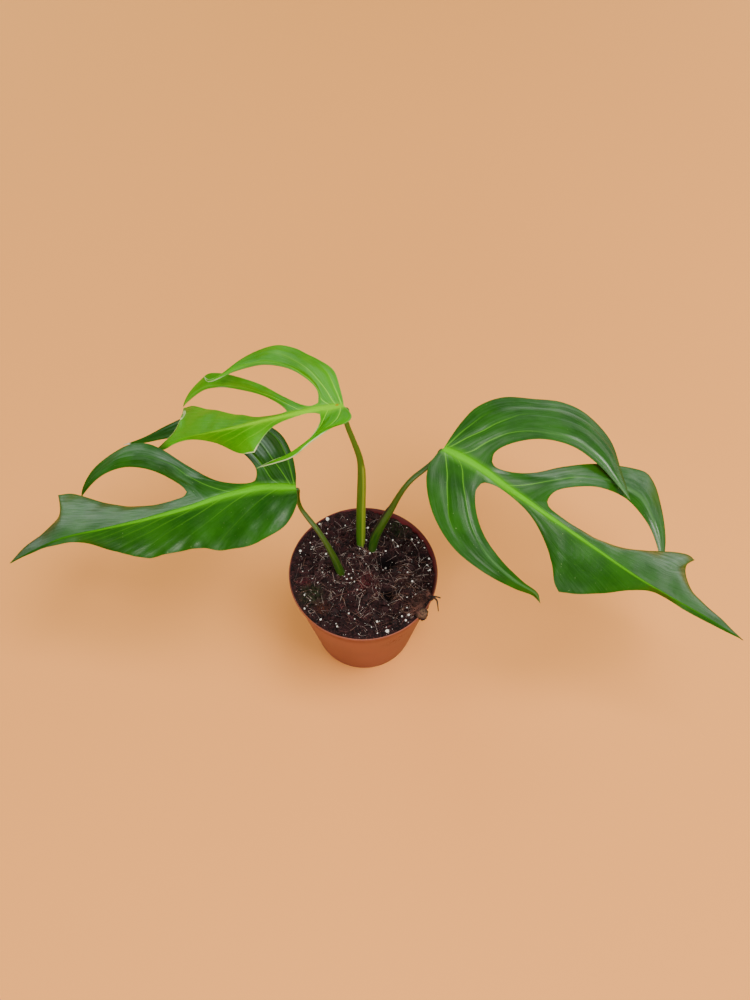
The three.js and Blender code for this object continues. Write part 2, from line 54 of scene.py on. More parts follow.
bpy.ops.mesh.primitive_plane_add(size=6)
floor = bpy.context.object
floor.name = "floor"
floor_paint = bpy.data.materials.new("pale floor")
floor_paint.use_nodes = True
floor_shader = floor_paint.node_tree.nodes["Principled BSDF"]
floor_shader.inputs["Base Color"].default_value = (0.98, 0.38, 0.09, 1)
floor_shader.inputs["Roughness"].default_value = 0.8
floor_shader.inputs["Specular IOR Level"].default_value = 0.2
floor.data.materials.append(floor_paint)

SHEEN_TINT, WARM_TINT = (0.84, 1.0, 0.9), (1.0, 0.97, 0.93)
for name, place, aim_height, size, watts, tint in (
    ("back left light", (-0.9, 1.2, 0.75), 0.15, (1.4, 0.9), 12, SHEEN_TINT),
    ("back right light", (0.9, 1.1, 0.28), 0.15, (1.4, 0.4), 5, SHEEN_TINT),
    ("right light", (1.4, 0.35, 0.45), 0.12, (0.9, 0.6), 4.2, SHEEN_TINT),
    ("left light", (-1.4, 0.1, 0.8), 0.12, (1.0, 0.6), 2, SHEEN_TINT),
    ("front light", (-0.25, -1.5, 0.75), 0.08, (1.5, 0.6), 26, WARM_TINT),
    ("top light", (0.52, -0.15, 1.65), 0.1, (1.0, 1.0), 34, WARM_TINT),
):
    bpy.ops.object.light_add(type="AREA", location=place)
    lamp = bpy.context.object
    lamp.name = name
    lamp.rotation_euler = (Vector((0, 0, aim_height)) - Vector(place)).to_track_quat("-Z", "Y").to_euler()
    lamp.data.shape = "RECTANGLE"
    lamp.data.size, lamp.data.size_y = size
    lamp.data.energy = watts
    lamp.data.color = tint
    lamp.visible_camera = False

room = bpy.data.worlds.new("room")
room.use_nodes = True
room.node_tree.nodes["Background"].inputs["Color"].default_value = (1.0, 0.9, 0.8, 1)
room.node_tree.nodes["Background"].inputs["Strength"].default_value = 0.14
bpy.context.scene.world = room


# The pot: a thin injection-moulded shell of satin terracotta-coloured plastic, with a shallow band
# round its lip and eight drain holes in its floor.
MM = 0.001


class Signal:
    """A value in a material's node tree. Arithmetic on it adds Math nodes, and node() any other."""

    def __init__(self, tree, socket=None):
        self.tree = tree
        self.socket = socket

    def node(self, kind, settings=None, inputs=None, output=0):
        made = self.tree.nodes.new("ShaderNode" + kind)
        for setting, value in (settings or {}).items():
            setattr(made, setting, value)
        for slot, value in (inputs or {}).items():
            if isinstance(value, Signal):
                self.tree.links.new(value.socket, made.inputs[slot])
            else:
                made.inputs[slot].default_value = value
        return Signal(self.tree, made.outputs[output])

    def math(self, operation, *values):
        return self.node("Math", {"operation": operation}, dict(enumerate(values)))

    def __add__(self, other):
        return self.math("ADD", self, other)

    __radd__ = __add__

    def __sub__(self, other):
        return self.math("SUBTRACT", self, other)

    def __rsub__(self, other):
        return self.math("SUBTRACT", other, self)

    def __mul__(self, other):
        return self.math("MULTIPLY", self, other)

    __rmul__ = __mul__

    def __abs__(self):
        return self.math("ABSOLUTE", self)

    def ramp(self, low, high):
        """0 at low and 1 at high, eased at both ends; low may be the larger."""
        limits = {"Value": self, "From Min": low, "From Max": high}
        return self.node("MapRange", {"interpolation_type": "SMOOTHSTEP"}, limits)

    def tint(self, first, second):
        """The first colour where this is 0, and the second where it is 1, as Signals or as levels."""
        first, second = (c if isinstance(c, Signal) else paint(*c) for c in (first, second))
        return self.node("Mix", {"data_type": "RGBA"}, {0: self, 6: first, 7: second}, output=2)

    def part(self, axis):
        return self.node("SeparateXYZ", None, {0: self}, output=axis)

    def stretched(self, *scale):
        return self.node("Mapping", None, {"Vector": self, "Scale": scale})

    def mottle(self, scale, detail=3, roughness=0.5):
        looks = {"Vector": self, "Scale": scale, "Detail": detail, "Roughness": roughness}
        return self.node("TexNoise", None, looks)

    def near(self, place, radius, softness=0.6):
        """1 inside a ball round a place in metres, easing to 0 outside it."""
        distance = self.node("VectorMath", {"operation": "DISTANCE"}, {0: self, 1: place}, output="Value")
        return distance.ramp(radius, radius * softness)

    def bump(self, strength, distance):
        """A normal for this as a height, which is the distance in metres where it is 1."""
        return self.node("Bump", None, {"Strength": strength, "Distance": distance, "Height": self})


def paint(red, green, blue):
    """A shader colour from screen levels of 0 to 255."""
    levels = (level / 255 for level in (red, green, blue))
    return (*(c / 12.92 if c < 0.04 else ((c + 0.055) / 1.055) ** 2.4 for c in levels), 1)


def shader_input(material, slot):
    """The shader's socket of this name, which has underscores for its spaces."""
    return material.node_tree.nodes["Principled BSDF"].inputs[slot.replace("_", " ")]


def new_finish(name, **fixed):
    """A material, with what is the same all over set on it, and the place on its piece as a Signal."""
    material = bpy.data.materials.new(name)
    material.use_nodes = True
    for slot, value in fixed.items():
        shader_input(material, slot).default_value = value
    return material, Signal(material.node_tree).node("TexCoord", output="Object")


def wire(material, **links):
    """Feeds signals to the sockets of a material's shader."""
    for slot, signal in links.items():
        signal.tree.links.new(signal.socket, shader_input(material, slot))


def seat(piece, name, material, slot, *nodes):
    """Names a finished piece, gives it its material and fixes it to the plant's one body."""
    piece.name = piece.data.name = name
    if material:
        piece.data.materials.clear()
        piece.data.materials.append(material)
    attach(piece, "root")
    if nodes:
        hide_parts(*nodes)


def alone(piece=None):
    """Selects only this piece, or nothing."""
    bpy.ops.object.select_all(action="DESELECT")
    if piece:
        piece.select_set(True)
        bpy.context.view_layer.objects.active = piece


def modify(piece, kind, **settings):
    """Adds a modifier to the piece and applies it."""
    alone(piece)
    modifier = piece.modifiers.new(kind.title(), kind)
    for setting, value in settings.items():
        setattr(modifier, setting, value)
    bpy.ops.object.modifier_apply(modifier=modifier.name)


def gather(pieces):
    """Joins pieces into one, with every place in its mesh."""
    alone(pieces[0])
    for piece in pieces:
        piece.select_set(True)
    bpy.ops.object.join()
    bpy.ops.object.transform_apply(location=True, rotation=True, scale=True)
    return bpy.context.object


def leave_edit(merge=0):
    """Merges points nearer than this, turns every face outward and leaves edit mode."""
    bpy.ops.mesh.select_all(action="SELECT")
    if merge:
        bpy.ops.mesh.remove_doubles(threshold=merge)
    bpy.ops.mesh.normals_make_consistent(inside=False)
    bpy.ops.object.mode_set(mode="OBJECT")


POT_HEIGHT, FOOT_RADIUS, TOP_RADIUS, WALL = 86, 36, 50.2, 1.2
DRAIN_HOLES, DRAIN_REACH, DRAIN_RADIUS = 8, 26 * MM, 4 * MM


def wall_radius(height):
    """The pot's outer radius at a height, both in millimetres."""
    return FOOT_RADIUS + (TOP_RADIUS - FOOT_RADIUS) * height / POT_HEIGHT


# Radius and height of each ring of the shell: up the outside, over the lip and down the inside
POT_RINGS = [
    (35.2, 0), (36.1, 0.8), (wall_radius(40), 40), (wall_radius(82.4), 82.4), (50.5, 83), (50.9, 83.7),
    (51, 85.6), (50.8, POT_HEIGHT), (50.45, POT_HEIGHT), (50.25, 85.7), (48.6, 82),
    (wall_radius(40) - WALL, 40), (wall_radius(3.6) - WALL, 3.6), (33.1, 1.6),
]
alone()
bpy.ops.mesh.primitive_circle_add(vertices=144, radius=POT_RINGS[0][0] * MM, fill_type="NGON")
pot = bpy.context.object
bpy.ops.object.mode_set(mode="EDIT")
for (radius, height), (next_radius, next_height) in zip(POT_RINGS, POT_RINGS[1:]):
    rise = (0, 0, (next_height - height) * MM)
    bpy.ops.mesh.extrude_region_move(TRANSFORM_OT_translate={"value": rise})
    widening = next_radius / radius
    bpy.ops.transform.resize(value=(widening, widening, 1), center_override=(0, 0, 0))
leave_edit()

pins = []
for i in range(DRAIN_HOLES):
    turn = 2 * math.pi * (i + 0.5) / DRAIN_HOLES
    centre = (DRAIN_REACH * math.cos(turn), DRAIN_REACH * math.sin(turn), 0)
    bpy.ops.mesh.primitive_cylinder_add(vertices=32, radius=DRAIN_RADIUS, depth=12 * MM, location=centre)
    pins.append(bpy.context.object)
drain_pins = gather(pins)
modify(pot, "BOOLEAN", operation="DIFFERENCE", object=drain_pins, solver="EXACT")
bpy.data.objects.remove(drain_pins)
modify(pot, "BEVEL", width=0.25 * MM, segments=2, limit_method="ANGLE", angle_limit=math.radians(40))
bpy.ops.object.shade_smooth_by_angle(angle=math.radians(35))

pot_plastic, at = new_finish("satin terracotta plastic", Specular_IOR_Level=0.4)
height, back = at.part("Z"), at.part("Y")
cloud = at.mottle(28, 3)
plastic = cloud.ramp(0.35, 0.7).tint((105, 50, 39), (117, 59, 46))
# Painted highlight along the top of the lip at the front, and painted shade over the back of the lip
lit_lip = height.ramp(0.0853, 0.0859) * 0.5 * back.ramp(-0.01, -0.03)
plastic = lit_lip.tint(plastic, (164, 92, 66))
shaded_back_lip = height.ramp(0.081, 0.0835) * 0.8 * back.ramp(-0.005, 0.02)
plastic = shaded_back_lip.tint(plastic, (84, 24, 26))
flat_place = at.stretched(1, 1, 0)
inside = flat_place.node("VectorMath", {"operation": "LENGTH"}, {0: flat_place}, output="Value")
# Painted shade on the inside of the wall above the mix
shaded_inner_wall = inside.ramp(0.0498, 0.0492) * height.ramp(0.070, 0.078)
plastic = shaded_inner_wall.tint(plastic, (92, 22, 26))
grime = at.near((-0.038, -0.0315, 0.086), 0.011, 0.3) * at.mottle(420, 4, 0.7).ramp(0.48, 0.6)
plastic = (grime * 0.8).tint(plastic, (150, 84, 26))
smudge = at.near((0.0235, -0.0425, 0.062), 0.013, 0.2) * at.mottle(620, 4, 0.75).ramp(0.5, 0.62)
plastic = (smudge * 0.55).tint(plastic, (92, 44, 34))
dust = at.mottle(1500, 2).ramp(0.70, 0.76) * height.ramp(0.055, 0.084)
plastic = (dust * 0.35).tint(plastic, (90, 46, 34))
speckle, moulding = at.mottle(900, 2), at.stretched(60, 60, 900).mottle(1, 2)
relief = (speckle * 0.4 + moulding * 0.6).bump(0.12, 0.0004)
wire(pot_plastic, Base_Color=plastic, Roughness=0.46 + 0.12 * cloud + 0.25 * smudge, Normal=relief)
seat(pot, "nursery_pot", pot_plastic, "pot_plastic", "pot")


# The potting mix: damp dark bark and coir that fills the pot to just under its lip, heaped a
# little at the front left and hollowed in two places by watering.
MIX_LEVEL, MIX_TOP, MIX_REACH = 83, 86.6, 48
# Place, width and depth of the two hollows and of the small heap at the foot of the centre stalk
PITS = ((15.5, 9, 12, 10), (16, -16, 9, 8), (-2, 17.5, 9, -3))


def mix_height(x, y):
    """How high the mix lies at a place, without its lumps, in millimetres."""
    tilt = -(0.8 * y + 0.6 * x) / 51
    waves = 0.6 * math.sin(0.31 * x + 1.3) * math.cos(0.27 * y) + 0.4 * math.sin(0.53 * x - 0.41 * y)
    pits = sum(
        depth * math.exp(-((x - px) ** 2 + (y - py) ** 2) / (width / 2) ** 2) for px, py, width, depth in PITS
    )
    shore = min(max((math.hypot(x, y) - 36) / 10, 0), 1)
    bank = 3.2 * shore * min(max((20 - x) / 30, (-12 - y) / 24, 0), 1)
    return min(MIX_LEVEL + tilt + 1.3 * waves + bank - pits, MIX_TOP - 0.8)


def crumb(x, y):
    """How far a lump of bark stands out of the mix, in millimetres."""
    lump = noise.voronoi(Vector((x / 2.6, y / 2.6, 0.3)))[0]
    finer = noise.voronoi(Vector((x / 1.1, y / 1.1, 4.7)))[0]
    rough = noise.fractal(Vector((x / 6, y / 6, 9.1)), 0.7, 2, 5)
    return 2.1 * (lump[1] - lump[0]) + 0.8 * (finer[1] - finer[0]) + 0.9 * rough - 1.2


alone()
bpy.ops.mesh.primitive_grid_add(x_subdivisions=230, y_subdivisions=230, size=2)
mix = bpy.context.object
for vertex in mix.data.vertices:
    a, b = vertex.co.x, vertex.co.y
    reach = max(abs(a), abs(b))
    scale = reach / math.hypot(a, b) if reach else 0
    beside_wall = mix_height(MIX_REACH * a * scale, MIX_REACH * b * scale)
    brim = MIX_REACH + 0.5 + 0.44 * max(beside_wall - 82, 0)
    x, y = a * scale * brim, b * scale * brim
    height = mix_height(x, y) + crumb(x, y) * min(1, (1 - reach) * 12 + 0.3)
    vertex.co = Vector((x, y, min(height, MIX_TOP))) * MM
bpy.ops.object.mode_set(mode="EDIT")
bpy.ops.mesh.select_mode(type="EDGE")
bpy.ops.mesh.select_all(action="DESELECT")
bpy.ops.mesh.select_non_manifold()
# Down inside the wall to just above the floor
for down, narrowing in ((6, 0.952), (68, 0.75)):
    bpy.ops.mesh.extrude_region_move(TRANSFORM_OT_translate={"value": (0, 0, -down * MM)})
    bpy.ops.transform.resize(value=(narrowing, narrowing, 1), center_override=(0, 0, 0))
bpy.ops.transform.resize(value=(1, 1, 0), center_override=(0, 0, 1.9 * MM))
bpy.ops.mesh.fill()
leave_edit()
bpy.ops.object.shade_smooth_by_angle(angle=math.radians(70))


def mix_paint(at):
    """The mix's colour at a place: near-black bark with rusty, purple-brown, mossy and ashen parts, and
    painted shade in its two hollows.
    """
    broad, middle, fine = at.mottle(60, 4), at.mottle(240, 4, 0.65), at.mottle(1000, 3, 0.7)
    colour = middle.ramp(0.35, 0.65).tint((11, 4, 5), (44, 19, 21))
    colour = (fine.ramp(0.54, 0.70) * 0.8).tint(colour, (98, 56, 52))
    colour = (broad.ramp(0.55, 0.7) * middle.ramp(0.4, 0.6) * 0.6).tint(colour, (46, 20, 22))
    for place, radius, shade in (
        ((0.003, -0.006, 0.083), 0.010, (92, 28, 32)), ((-0.040, -0.008, 0.084), 0.006, (90, 24, 34)),
        ((-0.0275, -0.0265, 0.085), 0.008, (86, 44, 26)), ((-0.035, -0.017, 0.085), 0.012, (34, 56, 16)),
        ((0.025, 0.037, 0.082), 0.014, (30, 50, 14)), ((0.032, -0.004, 0.082), 0.012, (70, 40, 36)),
    ):
        colour = (at.near(place, radius, 0.2) * fine.ramp(0.42, 0.6) * 0.75).tint(colour, shade)
    # Painted shade: the two hollows darkened almost to black
    for place, radius in (((0.0155, 0.009, 0.076), 0.0105), ((0.016, -0.016, 0.078), 0.0075)):
        colour = (at.near(place, radius, 0.4) * 0.9).tint(colour, (4, 2, 3))
    specks = at.node("TexVoronoi", None, {"Vector": at, "Scale": 560, "Randomness": 1.0})
    ashen = specks.ramp(0.22, 0.14) * at.mottle(330, 2).ramp(0.60, 0.64)
    return (ashen * 0.85).tint(colour, (190, 186, 176)), middle, fine


mix_finish, at = new_finish("damp bark and coir", Specular_IOR_Level=0.2)
colour, middle, fine = mix_paint(at)
relief = (middle * 0.5 + fine * 0.5).bump(0.9, 0.0012)
wire(mix_finish, Base_Color=colour, Roughness=0.62 + 0.35 * fine, Normal=relief)
seat(mix, "potting_mix_bed", mix_finish, "potting_mix", "potting_mix")


# Bark chips: torn flakes and chunks of dark composted bark that lie on and in the mix. One chip is
# shaped, and each copy has its own size, turn and place.
chance = random.Random(11)


def lay(model, x, y, span, squash, rise, ceiling):
    """A copy of a small model at a place on the mix, squashed and turned by chance."""
    copy = model.copy()
    copy.data = model.data.copy()
    bpy.context.collection.objects.link(copy)
    copy.scale = [span * MM * (1 - squash * chance.random()) for _ in range(3)]
    copy.rotation_euler = [2 * math.pi * chance.random() for _ in range(3)]
    copy.location = Vector((x, y, min(mix_height(x, y) + rise * span, ceiling))) * MM
    return copy


def is_clear(x, y, places):
    """Whether a place is outside all the round ones given."""
    return all(math.hypot(x - cx, y - cy) >= r for cx, cy, r in places)


def scatter(model, count, size, squash, rise, keep_clear=()):
    """Copies of a small model all over the mix, mostly of the smaller sizes, with some places clear."""
    copies = []
    while len(copies) < count:
        reach, turn = MIX_REACH * math.sqrt(chance.random()), 2 * math.pi * chance.random()
        x, y = reach * math.cos(turn), reach * math.sin(turn)
        if not is_clear(x, y, keep_clear):
            continue
        span = size[0] + (size[1] - size[0]) * chance.random() ** 2.2
        copies.append(lay(model, x, y, span, squash, rise, MIX_TOP - 0.2))
    return copies


# Place and radius of what stays clear of chips: the feet of the stalks and the two hollows
PITS_CLEAR = ((15.5, 9, 6), (16, -16, 5))
KEPT_CLEAR = ((-15.7, 1, 5), (-1.9, 22, 5), (6, 19, 5), *PITS_CLEAR)
alone()
bpy.ops.mesh.primitive_cube_add(size=1)
chip_model = bpy.context.object
modify(chip_model, "BEVEL", width=0.16, segments=1)
for vertex in chip_model.data.vertices:
    vertex.co *= 1 + 0.35 * noise.noise(vertex.co * 2.3)
chips = gather(scatter(chip_model, 420, (1.2, 5.2), 0.75, 0.1, KEPT_CLEAR))
bpy.data.objects.remove(chip_model)
chip_finish, at = new_finish("composted bark", Specular_IOR_Level=0.25)
colour, middle, _ = mix_paint(at)
dry = at.mottle(170, 1).ramp(0.5, 0.75)
colour = (dry * 0.5).tint(colour, (58, 36, 32))
relief = at.stretched(1, 3, 1).mottle(900, 4, 0.7).bump(0.8, 0.0006)
wire(chip_finish, Base_Color=colour, Roughness=0.6 + 0.35 * middle, Normal=relief)
seat(chips, "bark_chips", chip_finish, "potting_mix")


# Perlite: light white grains of puffed volcanic glass, mixed in with the bark. The larger ones lie
# where they show on the real plant, each given by its place and width, and small ones between them.
GRAINS = [
    (-25.5, 41, 2.3), (-43.8, 15.5, 1.9), (16.2, -44.8, 2.1), (-31, 37, 1.1), (-26, 14.5, 1.2),
    (-26, 30.5, 0.9), (-28, 0.5, 1), (-31, -8, 0.8), (-39.5, -18.5, 1.1), (-39, -28.5, 1),
    (-28, -36.5, 1.3), (-17, -41.5, 1.3), (-9.5, -31.5, 1.1), (-5.5, -35, 1), (3, 36, 1.7), (2, 25.5, 1),
    (4.5, 15, 1.5), (15.5, 17.5, 1.1), (15.5, 9, 1.1), (20.5, 25.5, 1.1), (30.5, 1, 1), (40, -3, 1.3),
    (47, -2, 1.2), (46, 2.5, 1.2), (45.5, 11, 1.4), (33.5, -7, 1.4), (35.5, -16.5, 0.9), (38, -19.5, 0.8),
    (29.5, -27, 1), (30.5, -33, 1.5), (26, -34, 1.2), (28.5, -37, 1.5), (9.5, -38, 1.5), (-10, -1, 0.9),
    (-8, -4, 1), (-6, -7, 0.9), (-9, -8, 0.8), (-5, -11, 0.9), (-4, -13, 0.8), (-11, -5, 0.9),
    (-7, 1, 0.8), (34, 26.5, 1.4), (37.5, 28, 0.8), (38.5, 24, 1.1), (41.5, 25.5, 0.7), (42.5, 19.5, 1),
    (36, 22.5, 0.6), (24, 21, 1.2), (-13, 37, 0.9), (-37, 22, 0.8), (44, 6, 1),
]
alone()
bpy.ops.mesh.primitive_ico_sphere_add(subdivisions=2, radius=1)
grain_model = bpy.context.object
for vertex in grain_model.data.vertices:
    vertex.co *= 1 + 0.45 * noise.noise(vertex.co * 1.7 + Vector((3, 1, 7)))
grains = [lay(grain_model, x, y, 0.62 * width, 0.35, 0.75 / 0.62, MIX_TOP) for x, y, width in GRAINS]
perlite = gather(grains + scatter(grain_model, 230, (0.14, 0.5), 0.4, 1.4))
bpy.data.objects.remove(grain_model)
bpy.ops.object.shade_smooth_by_angle(angle=math.radians(50))
perlite_finish, at = new_finish("puffed perlite", Specular_IOR_Level=0.3)
crust = at.mottle(1400, 4, 0.7)
white = (crust.ramp(0.56, 0.75) * 0.7).tint((240, 236, 226), (176, 158, 136))
wire(perlite_finish, Base_Color=white, Roughness=0.75 + 0.2 * crust, Normal=crust.bump(0.8, 0.0005))
seat(perlite, "perlite", perlite_finish, "potting_mix")


# Coir fibres and fine dead roots: thin springy threads, straw-coloured, rusty or dark, that lie
# loose on the mix in shallow arcs.
THREAD_REACH = 48.2


def new_line(name, thickness, roundness):
    """An empty set of lines, with the radius in millimetres of the rods that they become."""
    line = bpy.data.curves.new(name, "CURVE")
    line.dimensions = "3D"
    line.bevel_depth = thickness * MM
    line.bevel_resolution = roundness
    return line


def line_mesh(line):
    """The lines as a mesh of round rods."""
    rods = bpy.data.objects.new(line.name, line)
    bpy.context.collection.objects.link(rods)
    alone(rods)
    bpy.ops.object.convert(target="MESH")
    return bpy.context.object


def strands(name, starts, length, thickness, lift, seed):
    """Threads as one mesh, each from its own start in a lazy curve over the mix and inside the pot."""
    draw = random.Random(seed)
    line = new_line(name, thickness, 0)
    line.resolution_u = 1
    for x, y, over in starts:
        heading, bend = 2 * math.pi * draw.random(), draw.gauss(0, 0.06)
        steps = draw.randint(5, 9)
        stride = draw.uniform(*length) / steps
        spline = line.splines.new("POLY")
        spline.points.add(steps)
        arch, girth = draw.uniform(*lift), draw.uniform(0.5, 1.35)
        for i, dot in enumerate(spline.points):
            rest = max(mix_height(x, y) if math.hypot(x, y) < THREAD_REACH + 0.8 else over, over)
            z = rest + 0.35 + arch * math.sin(math.pi * i / steps)
            dot.co = (x * MM, y * MM, z * MM, 1)
            dot.radius = girth * draw.uniform(0.8, 1.1)
            heading += bend + draw.gauss(0, 0.05)
            x += stride * math.cos(heading)
            y += stride * math.sin(heading)
            if math.hypot(x, y) > THREAD_REACH:
                heading += math.pi / 2
                x, y = x * 0.97, y * 0.97
    return line_mesh(line)


def thread_finish(name, dull, bright):
    material, at = new_finish(name, Specular_IOR_Level=0.35, Roughness=0.6)
    wire(material, Base_Color=at.mottle(210, 2).ramp(0.35, 0.65).tint(dull, bright))
    return material


def strewn(count, middle, spread, seed):
    """Starts of threads round a place, off the wall and off the two hollows."""
    draw = random.Random(seed)
    spots = []
    while len(spots) < count:
        x, y = middle[0] + draw.gauss(0, spread), middle[1] + draw.gauss(0, spread)
        if math.hypot(x, y) < THREAD_REACH - 1.2 and is_clear(x, y, PITS_CLEAR):
            spots.append((x, y, 0))
    return spots


# Each sort's piece, the length, thickness, arch and seed of its threads, its finish and its patches
for name, length, thickness, lift, seed, finish, patches in (
    ("pale_threads", (3, 12), 0.07, (0, 1.6), 21, ("straw coir", (112, 84, 80), (206, 188, 176)),
     [(170, (0, 0), 34, 5), (50, (28, -8), 13, 6), (26, (-8, -26), 14, 8), (12, (-26, 12), 7, 16)]),
    ("rusty_threads", (3, 10), 0.09, (0, 1.5), 22, ("rusty coir", (58, 22, 24), (124, 68, 64)),
     [(40, (3, -8), 8, 9), (16, (-37, -6), 8, 10), (110, (0, 0), 34, 12)]),
    ("dark_threads", (3, 11), 0.13, (0, 1.4), 23, ("dark rootlets", (52, 30, 26), (120, 86, 70)),
     [(150, (0, 0), 30, 13), (110, (31, -19), 10, 14)]),
):
    starts = [spot for patch in patches for spot in strewn(*patch)]
    threads = strands(name, starts, length, thickness, lift, seed)
    seat(threads, name, thread_finish(*finish), "potting_mix")


# The tuft: a wad of fibrous coir that has worked its way out over the lip at the front right,
# with a small seed-like knob and two dry twigs. Its lumps are given by their centre and radius.
TUFT_LUMPS = [(35, -25, 81.6, 3.8), (41, -24, 83.4, 3.3), (45.5, -20.5, 85.6, 1.8), (39.5, -32, 85.6, 3.9)]
lumps = []
for *centre, radius in TUFT_LUMPS:
    centre = Vector(centre)
    bpy.ops.mesh.primitive_ico_sphere_add(subdivisions=4, radius=radius * MM, location=centre * MM)
    lump = bpy.context.object
    for vertex in lump.data.vertices:
        vertex.co *= 1 + 0.3 * noise.fractal(vertex.co / (1.6 * MM) + centre, 0.8, 2, 4)
    lumps.append(lump)
for path in (
    [(42, -20, 86), (46.5, -19.5, 88.6), (52, -21.5, 88.4)],
    [(46, -20, 87.5), (49.5, -22, 88), (50, -25.5, 87), (50.6, -29, 83.6)],
):
    line = new_line("twig", 0.6, 2)
    line.use_fill_caps = True
    spline = line.splines.new("NURBS")
    spline.points.add(len(path) - 1)
    for i, (dot, place) in enumerate(zip(spline.points, path)):
        dot.co = (*(value * MM for value in place), 1)
        dot.radius = (1.5, 1.1, 0.8, 0.5)[i]
    spline.use_endpoint_u = True
    spline.order_u = 3
    lumps.append(line_mesh(line))
tuft = gather(lumps)
bpy.ops.object.shade_smooth()
tuft_finish, at = new_finish("matted coir", Specular_IOR_Level=0.3)
matted = at.stretched(1, 1, 2.5).mottle(700, 5, 0.75)
shade = matted.ramp(0.38, 0.72).tint((12, 6, 5), (48, 27, 21))
knob = at.near((0.0395, -0.0330, 0.0895), 0.0056, 0.4)
shade = (knob * matted.ramp(0.34, 0.62) * 0.8).tint(shade, (136, 104, 78))
dry_wood = at.near((0.0505, -0.0245, 0.0872), 0.0062, 0.6)
shade = (dry_wood * 0.6).tint(shade, (84, 66, 54))
wire(tuft_finish, Base_Color=shade, Roughness=0.7 + 0.25 * matted, Normal=matted.bump(1.0, 0.0012))
seat(tuft, "coir_tuft", tuft_finish, "potting_mix")

draw = random.Random(31)
tuft_starts = []
for x, y, z, radius in TUFT_LUMPS:
    for _ in range(int(17 * radius)):
        turn, rise = 2 * math.pi * draw.random(), draw.uniform(-0.1, 0.9)
        flat = radius * math.sqrt(1 - rise**2)
        tuft_starts.append((x + flat * math.cos(turn), y + flat * math.sin(turn), z + radius * rise))
hairs = strands("tuft_hairs", tuft_starts, (3, 9), 0.09, (0.2, 1.6), 24)
seat(hairs, "tuft_hairs", thread_finish("coir hairs", (52, 24, 20), (130, 82, 68)), "potting_mix")


# The buried stem: a short woody creeping stem with its first roots, hidden in the mix. Its solid
# stays as it is and gets the skin of an old stem.
stem_skin, at = new_finish("old stem skin", Specular_IOR_Level=0.3)
bark = at.stretched(1, 1, 4).mottle(260, 4, 0.6)
woody = bark.ramp(0.35, 0.7).tint((112, 92, 52), (168, 146, 96))
wire(stem_skin, Base_Color=woody, Roughness=0.65 + 0.25 * bark, Normal=bark.bump(0.7, 0.0008))
buried_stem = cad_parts["buried_stem"]
buried_stem.data.materials.clear()
buried_stem.data.materials.append(stem_skin)


# The left stalk: a smooth olive-green leaf stalk, round with a shallow groove, that grows out of
# the mix and turns up sharply just under its leaf.
def smooth_line(points, shares):
    """Points at even shares, from 0 to 1, along a smooth curve through the given ones."""
    p = np.array(points, float)
    p = np.vstack([2 * p[0] - p[1], p, 2 * p[-1] - p[-2]])
    steps = np.linspace(0, 1, 33)[1:, None]
    fine = [p[1:2]]
    for a, b, c, d in zip(p, p[1:], p[2:], p[3:]):
        before, during, after = (np.linalg.norm(v - u) ** 0.5 for u, v in ((a, b), (b, c), (c, d)))
        start = ((b - a) / before - (c - a) / (before + during) + (c - b) / during) * during
        end = ((c - b) / during - (d - b) / (during + after) + (d - c) / after) * during
        square, cube = 3 * (c - b) - 2 * start - end, 2 * (b - c) + start + end
        fine.append(b + steps * start + steps**2 * square + steps**3 * cube)
    fine = np.vstack(fine)
    run = np.concatenate([[0], np.cumsum(np.linalg.norm(np.diff(fine, axis=0), axis=1))])
    return np.stack([np.interp(np.asarray(shares) * run[-1], run, fine[:, k]) for k in range(3)], axis=-1)


def sheet_of(places, **maps):
    """A grid of points in millimetres as a mesh; maps are pairs of numbers, kept for each corner."""
    rows, columns = places.shape[:2]
    bpy.ops.mesh.primitive_grid_add(x_subdivisions=columns - 1, y_subdivisions=rows - 1, size=2)
    sheet = bpy.context.object
    count = len(sheet.data.vertices)
    flat = np.zeros(count * 3)
    sheet.data.vertices.foreach_get("co", flat)
    flat = flat.reshape(-1, 3)
    column = np.rint((flat[:, 0] + 1) / 2 * (columns - 1)).astype(int)
    row = np.rint((flat[:, 1] + 1) / 2 * (rows - 1)).astype(int)
    sheet.data.vertices.foreach_set("co", (places[row, column] * MM).ravel())
    corners = np.zeros(len(sheet.data.loops), int)
    sheet.data.loops.foreach_get("vertex_index", corners)
    for layer in list(sheet.data.uv_layers):
        sheet.data.uv_layers.remove(layer)
    for name, values in maps.items():
        layer = sheet.data.uv_layers.new(name=name)
        layer.data.foreach_set("uv", values[row, column][corners].ravel())
    return sheet


def eased(x):
    """0 up to 0 and 1 from 1, eased at both ends."""
    t = np.clip(x, 0, 1)
    return t * t * (3 - 2 * t)


def leaf_axes(leaf):
    """Unit vectors of a leaf's own frame: from its joint to its tip, across and up."""
    joint, tip = leaf
    along = np.array(tip, float) - joint
    along /= np.linalg.norm(along)
    across = np.cross((0, 0, 1), along)
    across /= np.linalg.norm(across)
    return np.stack([along, across, np.cross(along, across)])


AROUND, RINGS = 48, 170


